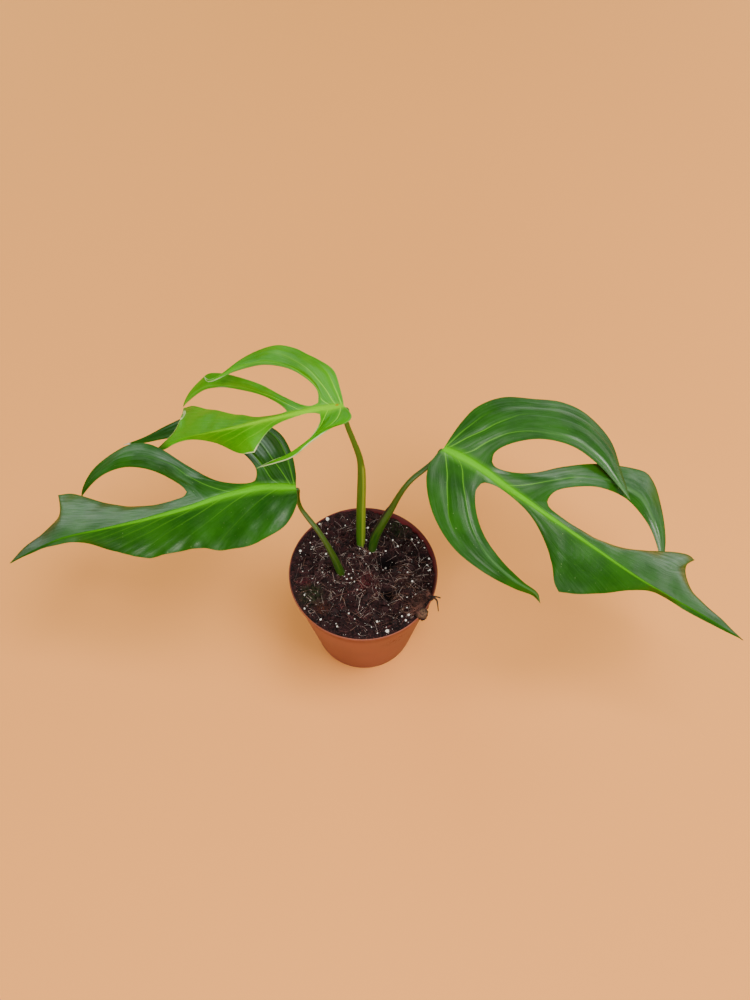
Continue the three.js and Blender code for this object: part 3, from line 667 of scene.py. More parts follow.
def stalk_mesh(leaf, path, radii, sheath_end, facing, sheath_depth=1):
    """A stalk as a closed tube that ends under its leaf.

    Its sheath has two thin wings with a groove between them, on the side that it faces.
    """
    keel = np.array([[0.2, 0, -3.6], [2.4, 0, -1.7]]) @ leaf_axes(leaf) + leaf[0]
    share = np.linspace(0, 1, RINGS)
    centre = smooth_line([*path, *keel.tolist()], share)
    tangent = np.gradient(centre, axis=0)
    tangent /= np.linalg.norm(tangent, axis=1)[:, None]
    front = np.array(facing) - (tangent @ np.array(facing))[:, None] * tangent
    front /= np.linalg.norm(front, axis=1)[:, None]
    side = np.cross(tangent, front)
    radius = np.interp(share * (len(radii) - 1), range(len(radii)), radii)
    radius *= 1 - 0.45 * eased((share - 0.97) / 0.03)
    angle = np.linspace(0, 2 * np.pi, AROUND + 1)
    turn = np.minimum(angle, 2 * np.pi - angle)
    sheath = sheath_depth * eased((sheath_end - share) / 0.05)[:, None]
    wing = 0.24 * np.exp(-(((turn - 0.55) / 0.24) ** 2))
    groove = 0.26 * np.exp(-((turn / 0.22) ** 2))
    ripple = np.array(
        [[noise.noise(Vector((2 * math.cos(a), 2 * math.sin(a), s * 14))) for a in angle] for s in share]
    )
    reach = radius[:, None] * (1 + sheath * (wing - groove) + 0.018 * ripple)
    tube = centre[:, None] + reach[..., None] * (
        np.cos(angle)[None, :, None] * front[:, None] + np.sin(angle)[None, :, None] * side[:, None]
    )
    ends = np.repeat(centre[[0, -1], None], AROUND + 1, axis=1)
    tube = np.concatenate([ends[:1], tube, ends[1:]])
    levels = np.concatenate([[0], share, [1]])
    spot = np.stack(np.broadcast_arrays(turn[None, :] / np.pi, levels[:, None]), axis=-1)
    stalk = sheet_of(tube, place=spot)
    bpy.ops.object.mode_set(mode="EDIT")
    leave_edit(merge=0.004 * MM)
    bpy.ops.object.shade_smooth()
    return stalk


def stalk_paint(at, foot, top):
    """Stalk green from foot to top, with fine lengthwise lines and a few pale flecks.

    With it go the share of the stalk's height, the share of the way round it, and the lines.
    """
    place = at.node("UVMap", {"uv_map": "place"})
    up, turn = place.part("Y"), place.part("X")
    lines = place.stretched(9, 3, 1).mottle(3, 3)
    green = up.ramp(0.15, 0.75).tint(foot, top)
    green = (lines.ramp(0.35, 0.75) * 0.35).tint(green, (86, 108, 20))
    flecks = at.mottle(1100, 2).ramp(0.7, 0.74)
    return (flecks * 0.4).tint(green, (140, 156, 80)), up, turn, lines


# A leaf is its joint and its tip, in millimetres
LEFT_LEAF = (-42.1, 23.5, 156), (-232.1, -8, 112)
left_stalk = stalk_mesh(LEFT_LEAF, sheath_end=0.4, facing=(0.7, -0.2, 0.7), sheath_depth=0.25, path=[
    (-11, 3, 66), (-13.5, 1.5, 74), (-15.7, 1, 83), (-20, 4.6, 98), (-24.7, 8.7, 110), (-30.5, 13.6, 120),
    (-35.5, 17.9, 125.5), (-40.3, 21.9, 132), (-41.9, 23.3, 140), (-41.7, 23.5, 148),
], radii=[2.6, 2.7, 2.7, 2.3, 1.9, 1.7, 1.7, 1.4, 1.4, 1.5])
left_skin, at = new_finish("left stalk skin", Specular_IOR_Level=0.45)
green, _, _, lines = stalk_paint(at, (24, 58, 0), (42, 72, 2))
wire(left_skin, Base_Color=green, Roughness=0.38 + 0.15 * lines, Normal=lines.bump(0.25, 0.0004))
seat(left_stalk, "left_stalk_skin", left_skin, "stalk", "left_stalk")


# The left blade: an old dark leaf. Its back half is cut into two long curved lobes and its front
# half is whole. It is thin and leathery, with a raised pale midrib and sunken side veins.
SUBSTEPS, ROWS, VEIN_WIDTH = 8, 110, 1.1
# The shares of the way from the midrib to the margin at which a sheet has points
WEB = np.linspace(0, 1, 25) ** 1.3
# In the map of how far a panel's line along its margin is: the number for far off, and that for a lobe
NO_RIM, ON_LOBE = 9, 12


def edge_line(edge, cells, cells_to_corner):
    """Even points along a margin, which a repeated point splits at a sharp corner."""
    corner = [i for i in range(1, len(edge)) if edge[i] == edge[i - 1]]
    if not corner:
        return smooth_line(edge, np.linspace(0, 1, cells + 1))
    first = smooth_line(edge[:corner[0]], np.linspace(0, 1, cells_to_corner + 1))
    second = smooth_line(edge[corner[0]:], np.linspace(0, 1, cells - cells_to_corner + 1))
    return np.vstack([first, second[1:]])


def smooth_track(points, s):
    """A smooth curve through pairs of share along and share across."""
    curve = smooth_line([(along, across, 0) for along, across in points], np.linspace(0, 1, 160))
    return np.interp(s, curve[:, 0], curve[:, 1])


def waver(places, size, seed):
    """A slow random rise and fall over a sheet, between about -1 and 1."""
    spots = places.reshape(-1, 3) / size + seed
    return np.array([noise.noise(Vector(spot)) for spot in spots]).reshape(places.shape[:-1]) * 1.6


def blade_mesh(leaf, skins, stations, midrib, rib_width, lobes, panels):
    """A blade as a closed mesh, with a material for its upper side and one for its underside.

    Each lobe and panel is a sheet from the midrib to its margin. Points are in the leaf's own frame.
    """
    count = stations * SUBSTEPS
    spine = smooth_line(midrib, np.linspace(0, 1, count + 1))
    stride = np.linalg.norm(spine[1] - spine[0])
    web = WEB[:, None]
    joint, axes = leaf[0], leaf_axes(leaf)
    sheets = []

    def rib_reach(places):
        """Distance from the midrib, half its width there, and the share of its length."""
        gaps = np.linalg.norm(places[..., None, :] - spine, axis=-1)
        station = gaps.argmin(axis=-1) / count
        return gaps.min(axis=-1), np.interp(station, *zip(*rib_width)), station

    def margin_reach(places, *margins):
        return np.linalg.norm(places[..., None, :] - np.vstack(margins), axis=-1).min(axis=-1)

    def add_sheet(places, relief, **maps):
        distance, half, station = rib_reach(places)
        outward = (places - spine[np.rint(station * count).astype(int)]) @ axes
        side = 1 if outward[..., 1].mean() > 0 else -1
        places = places.copy()
        places[..., 2] += 0.16 * half * np.exp(-((distance / half) ** 2)) + relief
        maps["rib"] = (side * distance / half, station)
        pairs = {name: np.stack(np.broadcast_arrays(*pair), axis=-1) for name, pair in maps.items()}
        sheets.append(sheet_of(places @ axes + joint, **pairs))

    for lobe in lobes:
        near, far, veins = lobe["near"], lobe["far"], lobe["veins"]
        begin, end = (station * SUBSTEPS for station in lobe["span"])
        root = spine[begin:end + 1]
        if begin:
            root = np.vstack([(spine[begin] + web * (np.array(near[0]) - spine[begin]))[:0:-1], root])
        root = np.vstack([root, (spine[end] + web * (np.array(far[0]) - spine[end]))[1:]])
        run = np.concatenate([[0], np.cumsum(np.linalg.norm(np.diff(root, axis=0), axis=1))])
        t = run / run[-1]
        s = np.linspace(0, 1, ROWS + 1) ** 1.15
        rooted = eased(6 * s)[:, None] * eased(5 * (1 - s))[:, None]
        a, b = smooth_line(near, s)[:, None], smooth_line(far, s)[:, None]
        bulge = root - (root[0] + t[:, None] * (root[-1] - root[0]))
        places = a + t[:, None] * (b - a) + (1 - s[:, None, None]) ** lobe.get("fade", 8) * bulge
        width = np.linalg.norm(b - a, axis=-1)

        # Each vein keeps a given share of the lobe's width at each share of its length
        tracks = np.array([0 * s, *(smooth_track(track, s) for _, track in veins), 0 * s + 1])
        marks = [0, *(k + 0.5 for k in range(len(veins))), len(veins)]
        vein = np.array([np.interp(t, tracks[:, i], marks) for i in range(len(s))])
        gap = width / np.maximum(np.gradient(vein, t, axis=1), 0.5)
        until = np.array([reach for reach, _ in veins])
        nearest = np.clip(vein.astype(int), 0, len(veins) - 1)
        strength = eased((until[nearest] - s[:, None]) / 0.3)
        offset = np.abs(vein % 1 - 0.5) * gap

        # The lobe arches across its width, partly in a fold along its last vein
        fold = tracks[-2][:, None]
        arch = 4 * t * (1 - t)
        folded = np.minimum(t / fold, (1 - t) / (1 - fold))
        sharpness = lobe.get("fold", 0)
        places[..., 2] += lobe["crown"] * width * eased(5 * s)[:, None] * (arch + sharpness * (folded - arch))
        places[0], places[-1] = root, near[-1]
        relief = rooted * (
            -0.32 * strength * np.exp(-((offset / VEIN_WIDTH) ** 2))
            + (0.26 * np.cos(2 * np.pi * vein) + 0.06 * np.cos(6 * np.pi * vein)) * np.minimum(gap / 12, 1)
            + lobe.get("waver", 0.5) * waver(places, 17, joint[0]) * arch
        )
        edge = margin_reach(places, a[:, 0], b[:, 0])
        add_sheet(places, relief, vein=(vein, gap), place=(s[:, None], edge), line=(strength, ON_LOBE))

    for panel in panels:
        begin = panel["begin"]
        rib = spine[begin * SUBSTEPS:][:, None]
        cells = (stations - begin) * SUBSTEPS
        margin = edge_line(panel["edge"], cells, (panel.get("corner", begin) - begin) * SUBSTEPS)[:, None]
        t = WEB
        width = np.linalg.norm(margin - rib, axis=-1)
        places = rib + t[None, :, None] * (margin - rib)
        row = np.arange(cells + 1)[:, None] / SUBSTEPS
        out = t * width
        clear = eased(row / 3) * eased(out / 5)
        places[..., 2] += 0.05 * width * eased(row / 4) * 4 * t * (1 - t)

        # Side veins leave the midrib steeply near the stalk and slant more and more towards the tip
        forward = np.interp(places[..., 0], spine[:, 0], np.arange(count + 1) * stride)
        slant, growth = panel["slant"]
        start = (forward - slant * out) / (1 + growth * out)
        vein = start / panel["gap"]
        gap = panel["gap"] * (1 + growth * out) / np.hypot(1, slant + growth * start)
        strength = panel["strength"] * eased((width - out) / 6) * eased(row / 2)
        strength = strength * (1 - 0.85 * eased(start / 140))
        offset = np.abs(vein % 1 - 0.5) * gap
        rim, rim_offset = panel.get("rim"), NO_RIM
        if rim:
            runs = [run for run, _ in rim]
            ends = eased((forward - runs[0]) / 12) * eased((runs[-1] - forward) / 25)
            rim_offset = np.abs(out - np.interp(forward, *zip(*rim))) + 2 * (1 - ends)
            rim_offset = np.minimum(rim_offset, NO_RIM)
        relief = clear * (
            -0.25 * strength * np.exp(-((offset / VEIN_WIDTH) ** 2))
            + 0.04 * np.cos(6 * np.pi * vein)
            - 0.25 * np.exp(-((rim_offset / 1.2) ** 2))
            + (0.35 + 0.5 * t) * waver(places, 15, joint[0] + begin)
            + panel.get("wave", 0) * np.sin(4 * np.pi * vein) * eased(1.3 * out / width.max()) ** 3
        )
        relief *= eased((cells / SUBSTEPS - row) / 3)
        edge = margin_reach(places, margin[:, 0])
        add_sheet(places, relief, vein=(vein, gap), place=(out / 30, edge), line=(strength, rim_offset))

    blade = gather(sheets)
    bpy.ops.object.mode_set(mode="EDIT")
    leave_edit(merge=0.015 * MM)
    up = sum((face.normal * face.area for face in blade.data.polygons), Vector())
    if up.z < 0:
        blade.data.flip_normals()

    # The blade is thin, and stands out as a keel under the midrib
    spots = np.zeros(len(blade.data.vertices) * 3)
    blade.data.vertices.foreach_get("co", spots)
    distance, half, _ = rib_reach((spots.reshape(-1, 3) / MM - joint) @ axes.T)
    depth = 0.62 + 2.0 * (half / 3) ** 1.5 * np.exp(-((distance / (0.62 * half)) ** 2))
    keel = blade.vertex_groups.new(name="thickness")
    for i, value in enumerate(depth / 3):
        keel.add([i], float(value), "REPLACE")
    for skin in skins:
        blade.data.materials.append(skin)
    modify(
        blade, "SOLIDIFY", thickness=3 * MM, offset=-1, vertex_group="thickness", use_quality_normals=True,
        material_offset=1,
    )
    bpy.ops.object.shade_smooth_by_angle(angle=math.radians(55))
    return blade


def leaf_spot(leaf, point):
    """A point of a leaf's own frame, in metres in the whole plant's."""
    return tuple((np.array(point) @ leaf_axes(leaf) + leaf[0]) * MM)


def blade_paint(name, deep, light, rib, rib_tip, vein_tone, ridge_sheen_tone, margin, gloss, sheen, marks):
    """A blade's upper side: cloudy green, the midrib's band, side veins and fine lines between them.

    Deep and light are the greens, rib and rib_tip the midrib's at its two ends, and the tone for ridges
    is that of a painted sheen along the outer part of a lobe's veins. The margin is a colour and how
    strong it is, gloss the least roughness and sheen the weight of the waxy coat. A mark is a leaf, a
    point in its own frame, a radius, a colour and how strong it is, or no colour where it brings out the
    margin.
    """
    material, at = new_finish(name, Specular_IOR_Level=0.1 * sheen, Coat_Roughness=0.3, Coat_IOR=1.75)
    maps = [at.node("UVMap", {"uv_map": key}) for key in ("vein", "place", "rib", "line")]
    vein, gap, along, edge, side_reach, station, strength, rim = (
        each.part(axis) for each in maps for axis in "XY"
    )
    reach, back = abs(side_reach), side_reach.ramp(-1.5, 1.5)
    on_lobe = rim.ramp(NO_RIM + 1, ON_LOBE - 1)
    offset = abs(vein.math("FRACT", vein) - 0.5) * gap
    line = (offset + along * 0.2).ramp(0.62, 0.14) * strength
    line = line.math("MAXIMUM", line, rim.ramp(0.5, 0.14) * 0.6)
    halo = offset.ramp(2.4, 0.3) * strength
    lengthwise = at.node("CombineXYZ", None, {"X": vein * 7, "Y": along * 3.4, "Z": station * 6})
    streaks = lengthwise.mottle(1.3, 5, 0.66)
    cloud = at.mottle(34, 4, 0.6)
    cells = at.mottle(1100, 2, 0.6)
    green = cloud.ramp(0.32, 0.68).tint(deep, light)
    green = (streaks.ramp(0.45, 0.72) * 0.4).tint(green, light)
    green = (halo * 0.3).tint(green, light)
    green = (line * (0.95 - along.ramp(0.03, 0.5) * 0.75)).tint(green, vein_tone)
    # Painted sheen: a pale grey-green band along the outer part of a lobe's veins
    painted_ridge_sheen = on_lobe * strength * along.ramp(0.3, 0.6) * offset.ramp(2.4, 0.2)
    green = (painted_ridge_sheen * 0.4).tint(green, ridge_sheen_tone)
    rib_green = station.ramp(0.3, 0.92).tint(rib, rib_tip)
    green = (reach.ramp(2.6, 0.9) * station.ramp(0.7, 0.1) * 0.35).tint(green, rib_green)
    green = (reach.ramp(1.25, 0.4) * (1 - station.ramp(0.82, 1.0) * 0.8)).tint(green, rib_green)
    rim_light = 0
    for leaf, point, radius, colour, amount in marks:
        zone = at.near(leaf_spot(leaf, point), radius, 0.5) * amount
        if colour:
            green = zone.tint(green, colour)
        else:
            rim_light = zone + rim_light
    rim_strength = (edge - rim_light * 0.25).ramp(0.75, 0.4)
    rim_strength = rim_strength * rim_strength.math("MINIMUM", rim_light + margin[1], 1)
    green = rim_strength.tint(green, margin[0])
    dots = at.mottle(900, 1).ramp(0.775, 0.79)
    green = (dots * 0.5).tint(green, (150, 176, 110))
    front_wax = 0.15 + 0.35 * edge.ramp(11, 3)
    wax = (front_wax + back * (1 - front_wax)) * (0.3 + 0.7 * streaks.ramp(0.32, 0.66))
    wax = wax * reach.ramp(0.9, 1.4)
    outer = on_lobe * (1 - strength * offset.ramp(4.5, 0.8)) * along.ramp(0.4, 0.75)
    wax = wax * (1 - 0.6 * outer) * (0.4 + 0.6 * edge.ramp(0.5, 2.5)) * sheen
    relief = (streaks * 0.8 + cells * 0.2 - line * 0.25).bump(0.55, 0.0009)
    rough = gloss + 0.2 * streaks + 0.12 * cloud
    wire(material, Base_Color=green, Roughness=rough, Coat_Weight=wax, Normal=relief)
    return material


def under_paint(name, green, rib):
    """A blade's underside: paler and duller, with the keel of the midrib lighter still."""
    material, at = new_finish(name, Specular_IOR_Level=0.35)
    reach = abs(at.node("UVMap", {"uv_map": "rib"}).part("X"))
    net = at.mottle(700, 3, 0.6)
    shade = (at.mottle(40, 3).ramp(0.35, 0.7) * 0.5).tint(green, rib)
    shade = (reach.ramp(1.0, 0.5) * 0.85).tint(shade, rib)
    wire(material, Base_Color=shade, Roughness=0.52 + 0.15 * net, Normal=net.bump(0.2, 0.0004))
    return material


RIGHT_LEAF = (51.3, 42.3, 172), (245.9, -55.6, 96)
dark_top = blade_paint(
    "dark leaf upper side", deep=(18, 67, 0), light=(33, 90, 2), rib=(90, 176, 0), rib_tip=(44, 104, 6),
    vein_tone=(80, 146, 14), ridge_sheen_tone=(90, 136, 80), margin=((54, 96, 30), 0.35), gloss=0.3, sheen=0.82,
    marks=[
        (LEFT_LEAF, (120, -79, -11), 0.006, (226, 220, 196), 1),
        (RIGHT_LEAF, (230.5, 0, 0), 0.0025, (110, 84, 50), 1),
        # Painted shade towards the drooping tip
        (LEFT_LEAF, (190, 0, 0), 0.03, (10, 54, 0), 0.5),
    ],
)
dark_under = under_paint("dark leaf underside", (50, 88, 34), (90, 126, 48))
# A lobe lies between its near and its far margin, on the stations of its span. Each of its veins is
# the share of the lobe's length that it reaches, 1.3 for all of it, and its track as pairs of the
# share along and the share across. A panel has its margin, and side veins by their slant and gap.
left_blade = blade_mesh(
    LEFT_LEAF, (dark_top, dark_under), stations=24, midrib=[
        (0, 0, 0), (19, -4, 3), (45, -3, 7), (72, 0, 9), (100, 0, 9), (128, -2.5, 7), (158.5, -5.5, 4.5),
        (182, -3, 2), (197.5, 0, 0),
    ],
    rib_width=[(0, 2), (0.05, 2.8), (0.12, 2.4), (0.4, 1.5), (0.65, 0.9), (0.85, 0.6), (1, 0.3)],
    lobes=[
        dict(span=(0, 2), crown=0.09, near=[
            (0, 0, 0), (-1, -12.5, -1), (0.5, -29.5, -3), (7, -49, -6), (21.5, -65.5, -8), (44, -80, -9),
            (66, -87, -9), (86, -84, -9), (104, -80, -10), (121, -79, -11),
        ], far=[
            (25, -10, 4.5), (24, -14, 3), (24, -20, 2), (28, -30, 0), (38, -45.5, -4), (52, -60, -8),
            (71, -71, -11), (90, -75, -12), (106, -76.5, -12), (121, -79, -11),
        ], veins=[
            (0.7, [(0, 0.03), (0.08, 0.12), (0.25, 0.14), (1, 0.2)]),
            (0.8, [(0, 0.09), (0.08, 0.36), (0.15, 0.48), (0.3, 0.5), (1, 0.5)]),
            (0.9, [(0, 0.32), (0.08, 0.74), (0.18, 0.83), (1, 0.82)]),
        ]),
        dict(span=(2, 7), crown=0.14, fold=0.8, fade=14, near=[
            (25, -10, 4.5), (27, -9, 5), (34, -9.5, 6), (49.5, -16, 7), (67.5, -32.5, 8), (85, -51.5, 8),
            (95.5, -59.5, 8), (107.5, -64, 6), (121, -63.5, 3), (136.5, -59, -1), (144, -54.5, -4),
            (150, -49, -8), (152, -44, -10),
        ], far=[
            (70, -13.5, 7), (73.5, -19.5, 6), (89, -35.5, 4), (101, -44, 3), (114.5, -49.5, 2),
            (128.5, -50.5, 0), (137.5, -49.5, -3), (145.5, -47.5, -7), (152, -44, -10),
        ], veins=[
            (0.6, [(0, 0.47), (0.1, 0.55), (0.2, 0.5), (0.34, 0.38), (0.45, 0.46), (0.6, 0.62), (1, 0.7)]),
        ]),
    ],
    panels=[
        dict(begin=7, corner=18, slant=(1.5, 0.05), gap=14, strength=0.1, edge=[
            (70, -13.5, 7), (72, -11, 7), (79.5, -10, 7), (96, -12, 5), (113.5, -18, 3), (132, -28.5, 0),
            (147.5, -39, -2), (157, -44.5, -3), (165, -45.5, -3), (165, -45.5, -3), (163, -37.5, -1),
            (162, -30.5, 0), (163.5, -23.5, 1), (175, -15.5, 1), (189, -8, 0), (197.5, 0, 0),
        ]),
        dict(begin=0, slant=(1.2, 0.05), gap=17, strength=0.6, wave=0.4, edge=[
            (0, 0, 0), (1, 9.5, -2), (11, 21.5, -5), (31, 29, -6), (52.5, 29, -5), (67, 25, -1),
            (81, 22.5, -3), (104.5, 19.5, -6), (125, 10.5, -2), (146, -0.5, 1.5), (164, -3, 2.5),
            (182, -2.5, 1), (197.5, 0, 0),
        ]),
    ],
)
seat(left_blade, "left_blade_sheet", None, "dark_leaf", "left_blade")


# The centre stalk: the youngest stalk, brighter and upright. A long pale sheath clasps its lower
# two thirds and opens on the right in a slit, with painted shade along it.
CENTRE_LEAF = (-10.4, 45.1, 212), (-143.1, 64.9, 134)
centre_stalk = stalk_mesh(CENTRE_LEAF, sheath_end=0.66, facing=(1, -0.35, 0), path=[
    (-1.4, 18, 68), (-1.9, 20, 76), (-2.1, 22.1, 83), (-1.9, 26.4, 107), (-1.6, 29.1, 122),
    (-0.8, 34.3, 151), (-1.2, 36.8, 165), (-2.8, 38.3, 174), (-5.8, 40.3, 185), (-9.1, 42.8, 197),
    (-10.2, 44.6, 204.5),
], radii=[2.4, 2.6, 2.9, 2.9, 2.8, 2.7, 2.4, 2, 1.7, 1.6, 1.5])
centre_skin, at = new_finish("centre stalk skin", Specular_IOR_Level=0.45)
green, up, turn, lines = stalk_paint(at, (48, 94, 0), (46, 88, 2))
on_sheath = up.ramp(0.67, 0.63)
wing = turn.ramp(0.34, 0.26) * on_sheath
green = (wing * 0.75).tint(green, (122, 140, 36))
# Painted shade down the groove where the sheath opens
painted_slit_shade = turn.ramp(0.07, 0.03) * on_sheath * up.ramp(0.42, 0.5)
green = (painted_slit_shade * 0.8).tint(green, (34, 34, 10))
spots = at.mottle(520, 2).ramp(0.62, 0.68) * turn.ramp(0.5, 0.7) * up.ramp(0.4, 0.5) * on_sheath
green = (spots * 0.7).tint(green, (26, 40, 8))
wire(centre_skin, Base_Color=green, Roughness=0.4 + 0.15 * lines, Normal=lines.bump(0.25, 0.0004))
seat(centre_stalk, "centre_stalk_skin", centre_skin, "stalk", "centre_stalk")


# The centre blade: the newest leaf, soft and bright green with a whitish margin. It has two lobes
# at the back, the first with a hooked end, and one slim lobe at the front.
young_top = blade_paint(
    "young leaf upper side", deep=(57, 135, 0), light=(76, 158, 0), rib=(128, 200, 0), rib_tip=(84, 166, 4),
    vein_tone=(136, 212, 10), ridge_sheen_tone=(104, 176, 30), margin=((206, 218, 160), 0.1), gloss=0.35, sheen=0.3,
    marks=[
        (CENTRE_LEAF, (118, -53, 1), 0.014, None, 0.5),
        (CENTRE_LEAF, (140, -20, 0), 0.018, None, 4),
        (CENTRE_LEAF, (68, 18, -5), 0.010, None, 0.7),
        (CENTRE_LEAF, (18, 22, -1), 0.013, None, 0.7),
        (CENTRE_LEAF, (48, 27, -9), 0.026, None, 0.7),
        # Painted shade on the tip, which bends down and under
        (CENTRE_LEAF, (160, -1, 0), 0.022, (16, 66, 2), 0.8),
        (CENTRE_LEAF, (4.4, -1, 1.5), 0.0015, (170, 120, 6), 0.7),
    ],
)
young_under = under_paint("young leaf underside", (92, 138, 48), (136, 172, 76))
centre_blade = blade_mesh(
    CENTRE_LEAF, (young_top, young_under), stations=20, midrib=[
        (0, 0, 0), (15.5, 1, 4), (34, 2.5, 7), (53.5, 4, 9), (76, 4, 9), (101.5, 1, 7), (126.5, -2.5, 4),
        (142, -1.5, 2), (155, 0, 0),
    ],
    rib_width=[(0, 1.8), (0.05, 2.6), (0.15, 2.2), (0.4, 1.4), (0.7, 0.7), (1, 0.3)],
    lobes=[
        dict(span=(0, 2), crown=0.09, near=[
            (0, 0, 0), (5.5, -14.5, 0), (14.5, -32.5, -1), (30, -47, -2), (41.5, -56, -3),
            (53, -64.5, -3), (69.5, -71.5, -2), (85.5, -70.5, -1), (97.5, -64.8, 0.5),
            (105.5, -58.6, 1.2), (110.5, -53.4, 2.4), (115.5, -51.4, 3), (121, -53.4, 2),
            (126.5, -58.4, 2),
        ], far=[
            (17, -4, 4), (20.5, -14.5, 3), (34.5, -30.5, 2), (54.5, -45.5, 1), (74.5, -53.5, 1),
            (89.5, -55, 1), (100.5, -54, 1.5), (108.5, -51.5, 2.3), (114.8, -49.6, 3), (121.4, -51.6, 2),
            (126.5, -58.4, 2),
        ], veins=[
            (0.35, [(0, 0.05), (0.15, 0.22), (0.4, 0.2), (1, 0.2)]),
            (0.7, [(0, 0.2), (0.07, 0.45), (0.2, 0.66), (0.37, 0.58), (0.55, 0.45), (1, 0.5)]),
            (1.3, [(0, 0.36), (0.1, 0.86), (0.25, 0.93), (0.4, 0.9), (0.75, 0.85), (1, 0.85)]),
        ]),
        dict(span=(2, 4), crown=0.12, fold=0.5, fade=20, near=[
            (17, -4, 4), (21, -2, 5), (27, -3.5, 6), (45, -15.5, 5), (69.5, -34.5, 1), (97.5, -53, -4),
            (123, -68, -9), (137.5, -73, -11), (144.5, -72, -13), (154.5, -66, -15), (158.5, -60, -16),
            (160, -54, -17),
        ], far=[
            (37.5, -0.5, 7), (41.5, -5, 6), (63.5, -22.5, 2), (91.5, -40, -4), (119, -54, -9),
            (138, -59, -12), (151.5, -57.5, -15), (160, -54, -17),
        ], veins=[
            (1.3, [(0, 0.5), (0.12, 0.58), (0.28, 0.73), (0.47, 0.75), (0.7, 0.84), (1, 0.84)]),
        ]),
        dict(span=(0, 1), crown=0.1, waver=0.2, near=[
            (0, 0, 0), (-5.5, 6, 1), (-8, 11, 1), (-6, 14.5, 1), (5.5, 15.5, 0), (19.5, 21.5, -1),
            (34.5, 26.5, -5), (52, 25, -9), (71, 21, -14),
        ], far=[
            (14, 5, 4), (14, 9.5, 2), (20.5, 16.5, -1), (34.5, 22, -5), (53, 21.5, -9), (71, 21, -14),
        ], veins=[
            (0.4, [(0, 0.1), (0.03, 0.2), (0.13, 0.39), (0.25, 0.5), (1, 0.45)]),
            (0.4, [(0, 0.6), (0.05, 0.82), (0.1, 0.9), (1, 0.85)]),
        ]),
    ],
    panels=[
        dict(begin=4, corner=15, slant=(1.5, 0.05), gap=14, strength=0.2, edge=[
            (37.5, -0.5, 7), (42, 0, 7), (60, -3, 6), (82, -11.5, 4), (106.5, -23.5, 1), (134, -37.5, -3),
            (148, -43, -8), (148, -43, -8), (135.7, -26.4, 0.4), (139.4, -11.8, 1.3), (146.8, -6, 0.6),
            (155, 0, 0),
        ]),
        dict(begin=1, corner=9, slant=(1.5, 0.05), gap=15, strength=0.45, edge=[
            (14, 5, 4), (19, 3, 4), (31, 4, 5), (46, 6, 4), (56, 9, 1), (67, 16, -5), (67, 16, -5),
            (79.5, 13.5, -5), (101, 3, -0.5), (117, -0.5, 3), (132.5, -1, 2.5), (143.5, 0.5, 1),
            (155, 0, 0),
        ]),
    ],
)
seat(centre_blade, "centre_blade_sheet", None, "young_leaf", "centre_blade")


# The right stalk: an older, darker stalk that leans out to the right. The margin of its sheath
# has dried to a thin purple-brown skin on the upper left.
right_stalk = stalk_mesh(RIGHT_LEAF, sheath_end=0.52, facing=(-0.75, 0.1, 0.65), path=[
    (5.4, 18.6, 68), (5.8, 18.9, 76), (6.3, 19.2, 83), (8.8, 20.4, 99), (12.8, 22.3, 111.5),
    (17.4, 24.7, 122.5), (23.9, 28, 139), (28, 30, 147), (32.8, 32.4, 153), (38.6, 35.3, 157),
    (44.2, 38.2, 161), (48.1, 40.5, 165.5),
], radii=[2.5, 2.7, 2.9, 2.9, 2.7, 2.3, 1.9, 1.7, 1.7, 1.6, 1.6])
right_skin, at = new_finish("right stalk skin", Specular_IOR_Level=0.45)
green, up, turn, lines = stalk_paint(at, (18, 64, 0), (30, 72, 2))
dried = turn.ramp(0.2, 0.13) * up.ramp(0.56, 0.5) * up.ramp(0.2, 0.3)
green = (dried * 0.85).tint(green, (30, 14, 16))
gloss = 0.38 + 0.15 * lines + 0.2 * dried
wire(right_skin, Base_Color=green, Roughness=gloss, Normal=lines.bump(0.25, 0.0004))
seat(right_stalk, "right_stalk_skin", right_skin, "stalk", "right_stalk")


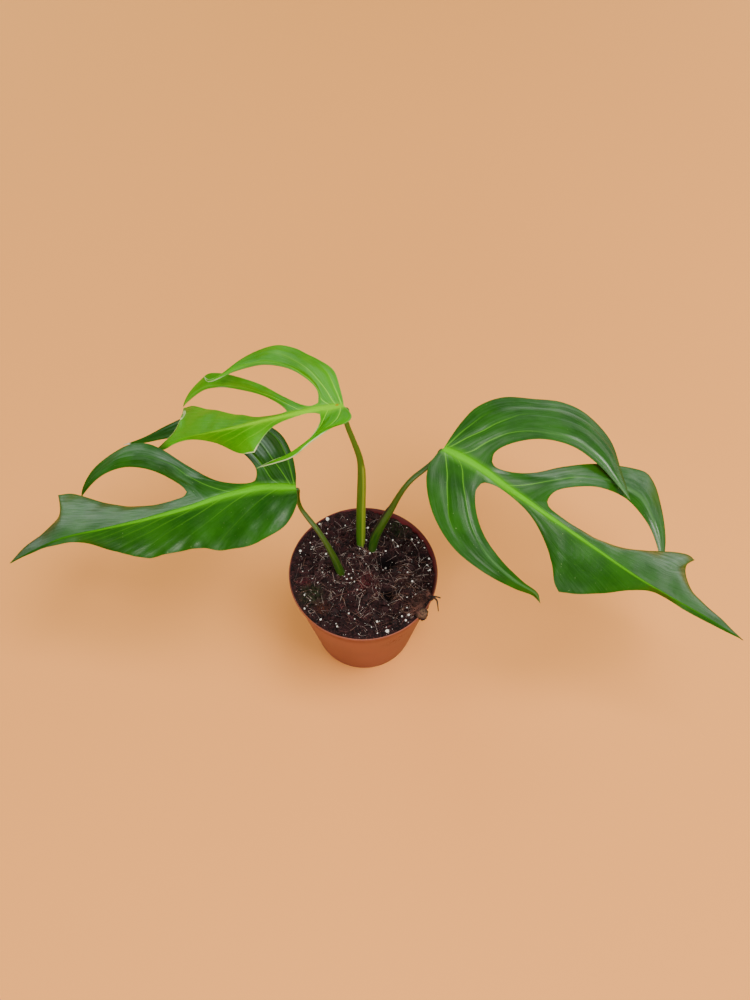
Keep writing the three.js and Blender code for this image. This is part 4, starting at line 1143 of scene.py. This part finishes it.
# The right blade: the largest and oldest leaf, dark, with two long lobes at the back and one
# sickle-shaped lobe at the front. It has the same skin as the left blade.
right_blade = blade_mesh(
    RIGHT_LEAF, (dark_top, dark_under), stations=26, midrib=[
        (0, 0, 0), (19.5, 0.5, 3), (49.5, -3.5, 7), (79.5, -6, 9), (110.5, -7.5, 9), (144, -7.5, 7),
        (170, -5.5, 5), (198, -2.5, 3), (230.5, 0, 0),
    ],
    rib_width=[(0, 2), (0.04, 2.9), (0.1, 2.5), (0.3, 1.7), (0.5, 1.1), (0.75, 0.7), (1, 0.3)],
    lobes=[
        dict(span=(0, 3), crown=0.1, fold=0.35, near=[
            (0, 0, 0), (0.5, 11, 0), (2, 26, -1), (6, 42.5, -2), (18, 61, -3), (37, 74, -3),
            (55.5, 85.5, -4), (73, 88.5, -4), (96.5, 81, -4), (112.5, 62, -2), (125.5, 44.7, 0),
        ], far=[
            (30.5, 8, 5), (29.5, 15.5, 4), (36.5, 29, 3), (54, 46.5, 2), (75, 55.5, 1), (95.5, 55, 0),
            (112.5, 49.5, 0), (125.5, 44.7, 0),
        ], veins=[
            (0.3, [(0, 0.01), (0.07, 0.1), (0.2, 0.22), (1, 0.22)]),
            (0.5, [(0, 0.03), (0.07, 0.25), (0.16, 0.45), (0.26, 0.49), (0.4, 0.43), (1, 0.43)]),
            (1.3, [(0, 0.22), (0.03, 0.43), (0.07, 0.57), (0.2, 0.74), (0.39, 0.85), (0.7, 0.85), (1, 0.85)]),
        ]),
        dict(span=(3, 7), crown=0.14, fold=0.6, fade=20, near=[
            (30.5, 8, 5), (33.5, 5.5, 5.8), (43, 7.5, 6.6), (56.5, 17, 5), (74.5, 38, 0),
            (95.5, 58.5, -5), (122, 75.5, -9), (132.5, 79.5, -11), (141, 75.5, -12), (149, 67, -13),
            (157, 54.5, -13), (163, 42, -13), (166.5, 31, -14), (167, 25, -15),
        ], far=[
            (73, 3, 8), (73, 7, 7.5), (75.5, 14.5, 6), (85, 26, 3), (104, 42, -2.5), (126, 49.5, -8),
            (146.5, 45, -12), (157.5, 36, -13), (163, 30, -14), (167, 25, -15),
        ], veins=[
            (1.3, [(0, 0.46), (0.08, 0.55), (0.28, 0.58), (0.45, 0.66), (0.6, 0.74), (1, 0.74)]),
        ]),
        dict(span=(0, 3), crown=0.1, fold=0.3, near=[
            (0, 0, 0), (-2, -6.5, -1), (-2, -17.5, -3), (4, -29, -5), (17.5, -42.5, -7), (37, -52, -9),
            (60, -54.5, -10), (83, -51, -13), (97, -46, -17), (105, -45, -22),
        ], far=[
            (31, -9.5, 4), (30.5, -15.5, 3), (36, -25.5, 1), (48, -36, -2), (65.5, -43, -5),
            (85.5, -45, -10), (99, -43, -16), (105, -45, -22),
        ], veins=[
            (0.55, [(0, 0.02), (0.07, 0.26), (0.13, 0.37), (0.22, 0.38), (0.36, 0.3), (1, 0.3)]),
            (1.3, [(0, 0.2), (0.07, 0.57), (0.19, 0.73), (0.3, 0.75), (0.57, 0.68), (1, 0.65)]),
        ]),
    ],
    panels=[
        dict(begin=7, corner=17, slant=(1.5, 0.08), gap=10, strength=0.15, edge=[
            (73, 3, 8), (75.5, 0.5, 8), (92, -0.5, 7), (112.5, 1.5, 5), (136.5, 10.5, 2), (159.5, 26, -2),
            (179, 37, -5), (184, 37, -6), (184, 37, -6), (178.5, 27.5, -3), (179.5, 19.5, -1),
            (186, 10, 1), (205.5, 5, 1), (230.5, 0, 0),
        ]),
        dict(begin=3, corner=11, slant=(1.5, 0.08), gap=12, strength=0.15, rim=[
            (40, 0), (62, 11), (77, 16), (100, 17.5), (125, 17.5), (139, 11), (150, 8),
        ], edge=[
            (31, -9.5, 4), (33.5, -7, 4), (43, -5.5, 5), (61, -8.5, 5), (80, -16, 3), (94.5, -28, -1),
            (102, -36.5, -4), (108, -39.5, -6), (108, -39.5, -6), (119.5, -34.5, -4), (133, -26, -1),
            (147.5, -15, 1), (163, -7, 2), (186, -6, 2), (208.5, -3.5, 1), (230.5, 0, 0),
        ]),
    ],
)
seat(right_blade, "right_blade_sheet", None, "dark_leaf", "right_blade")
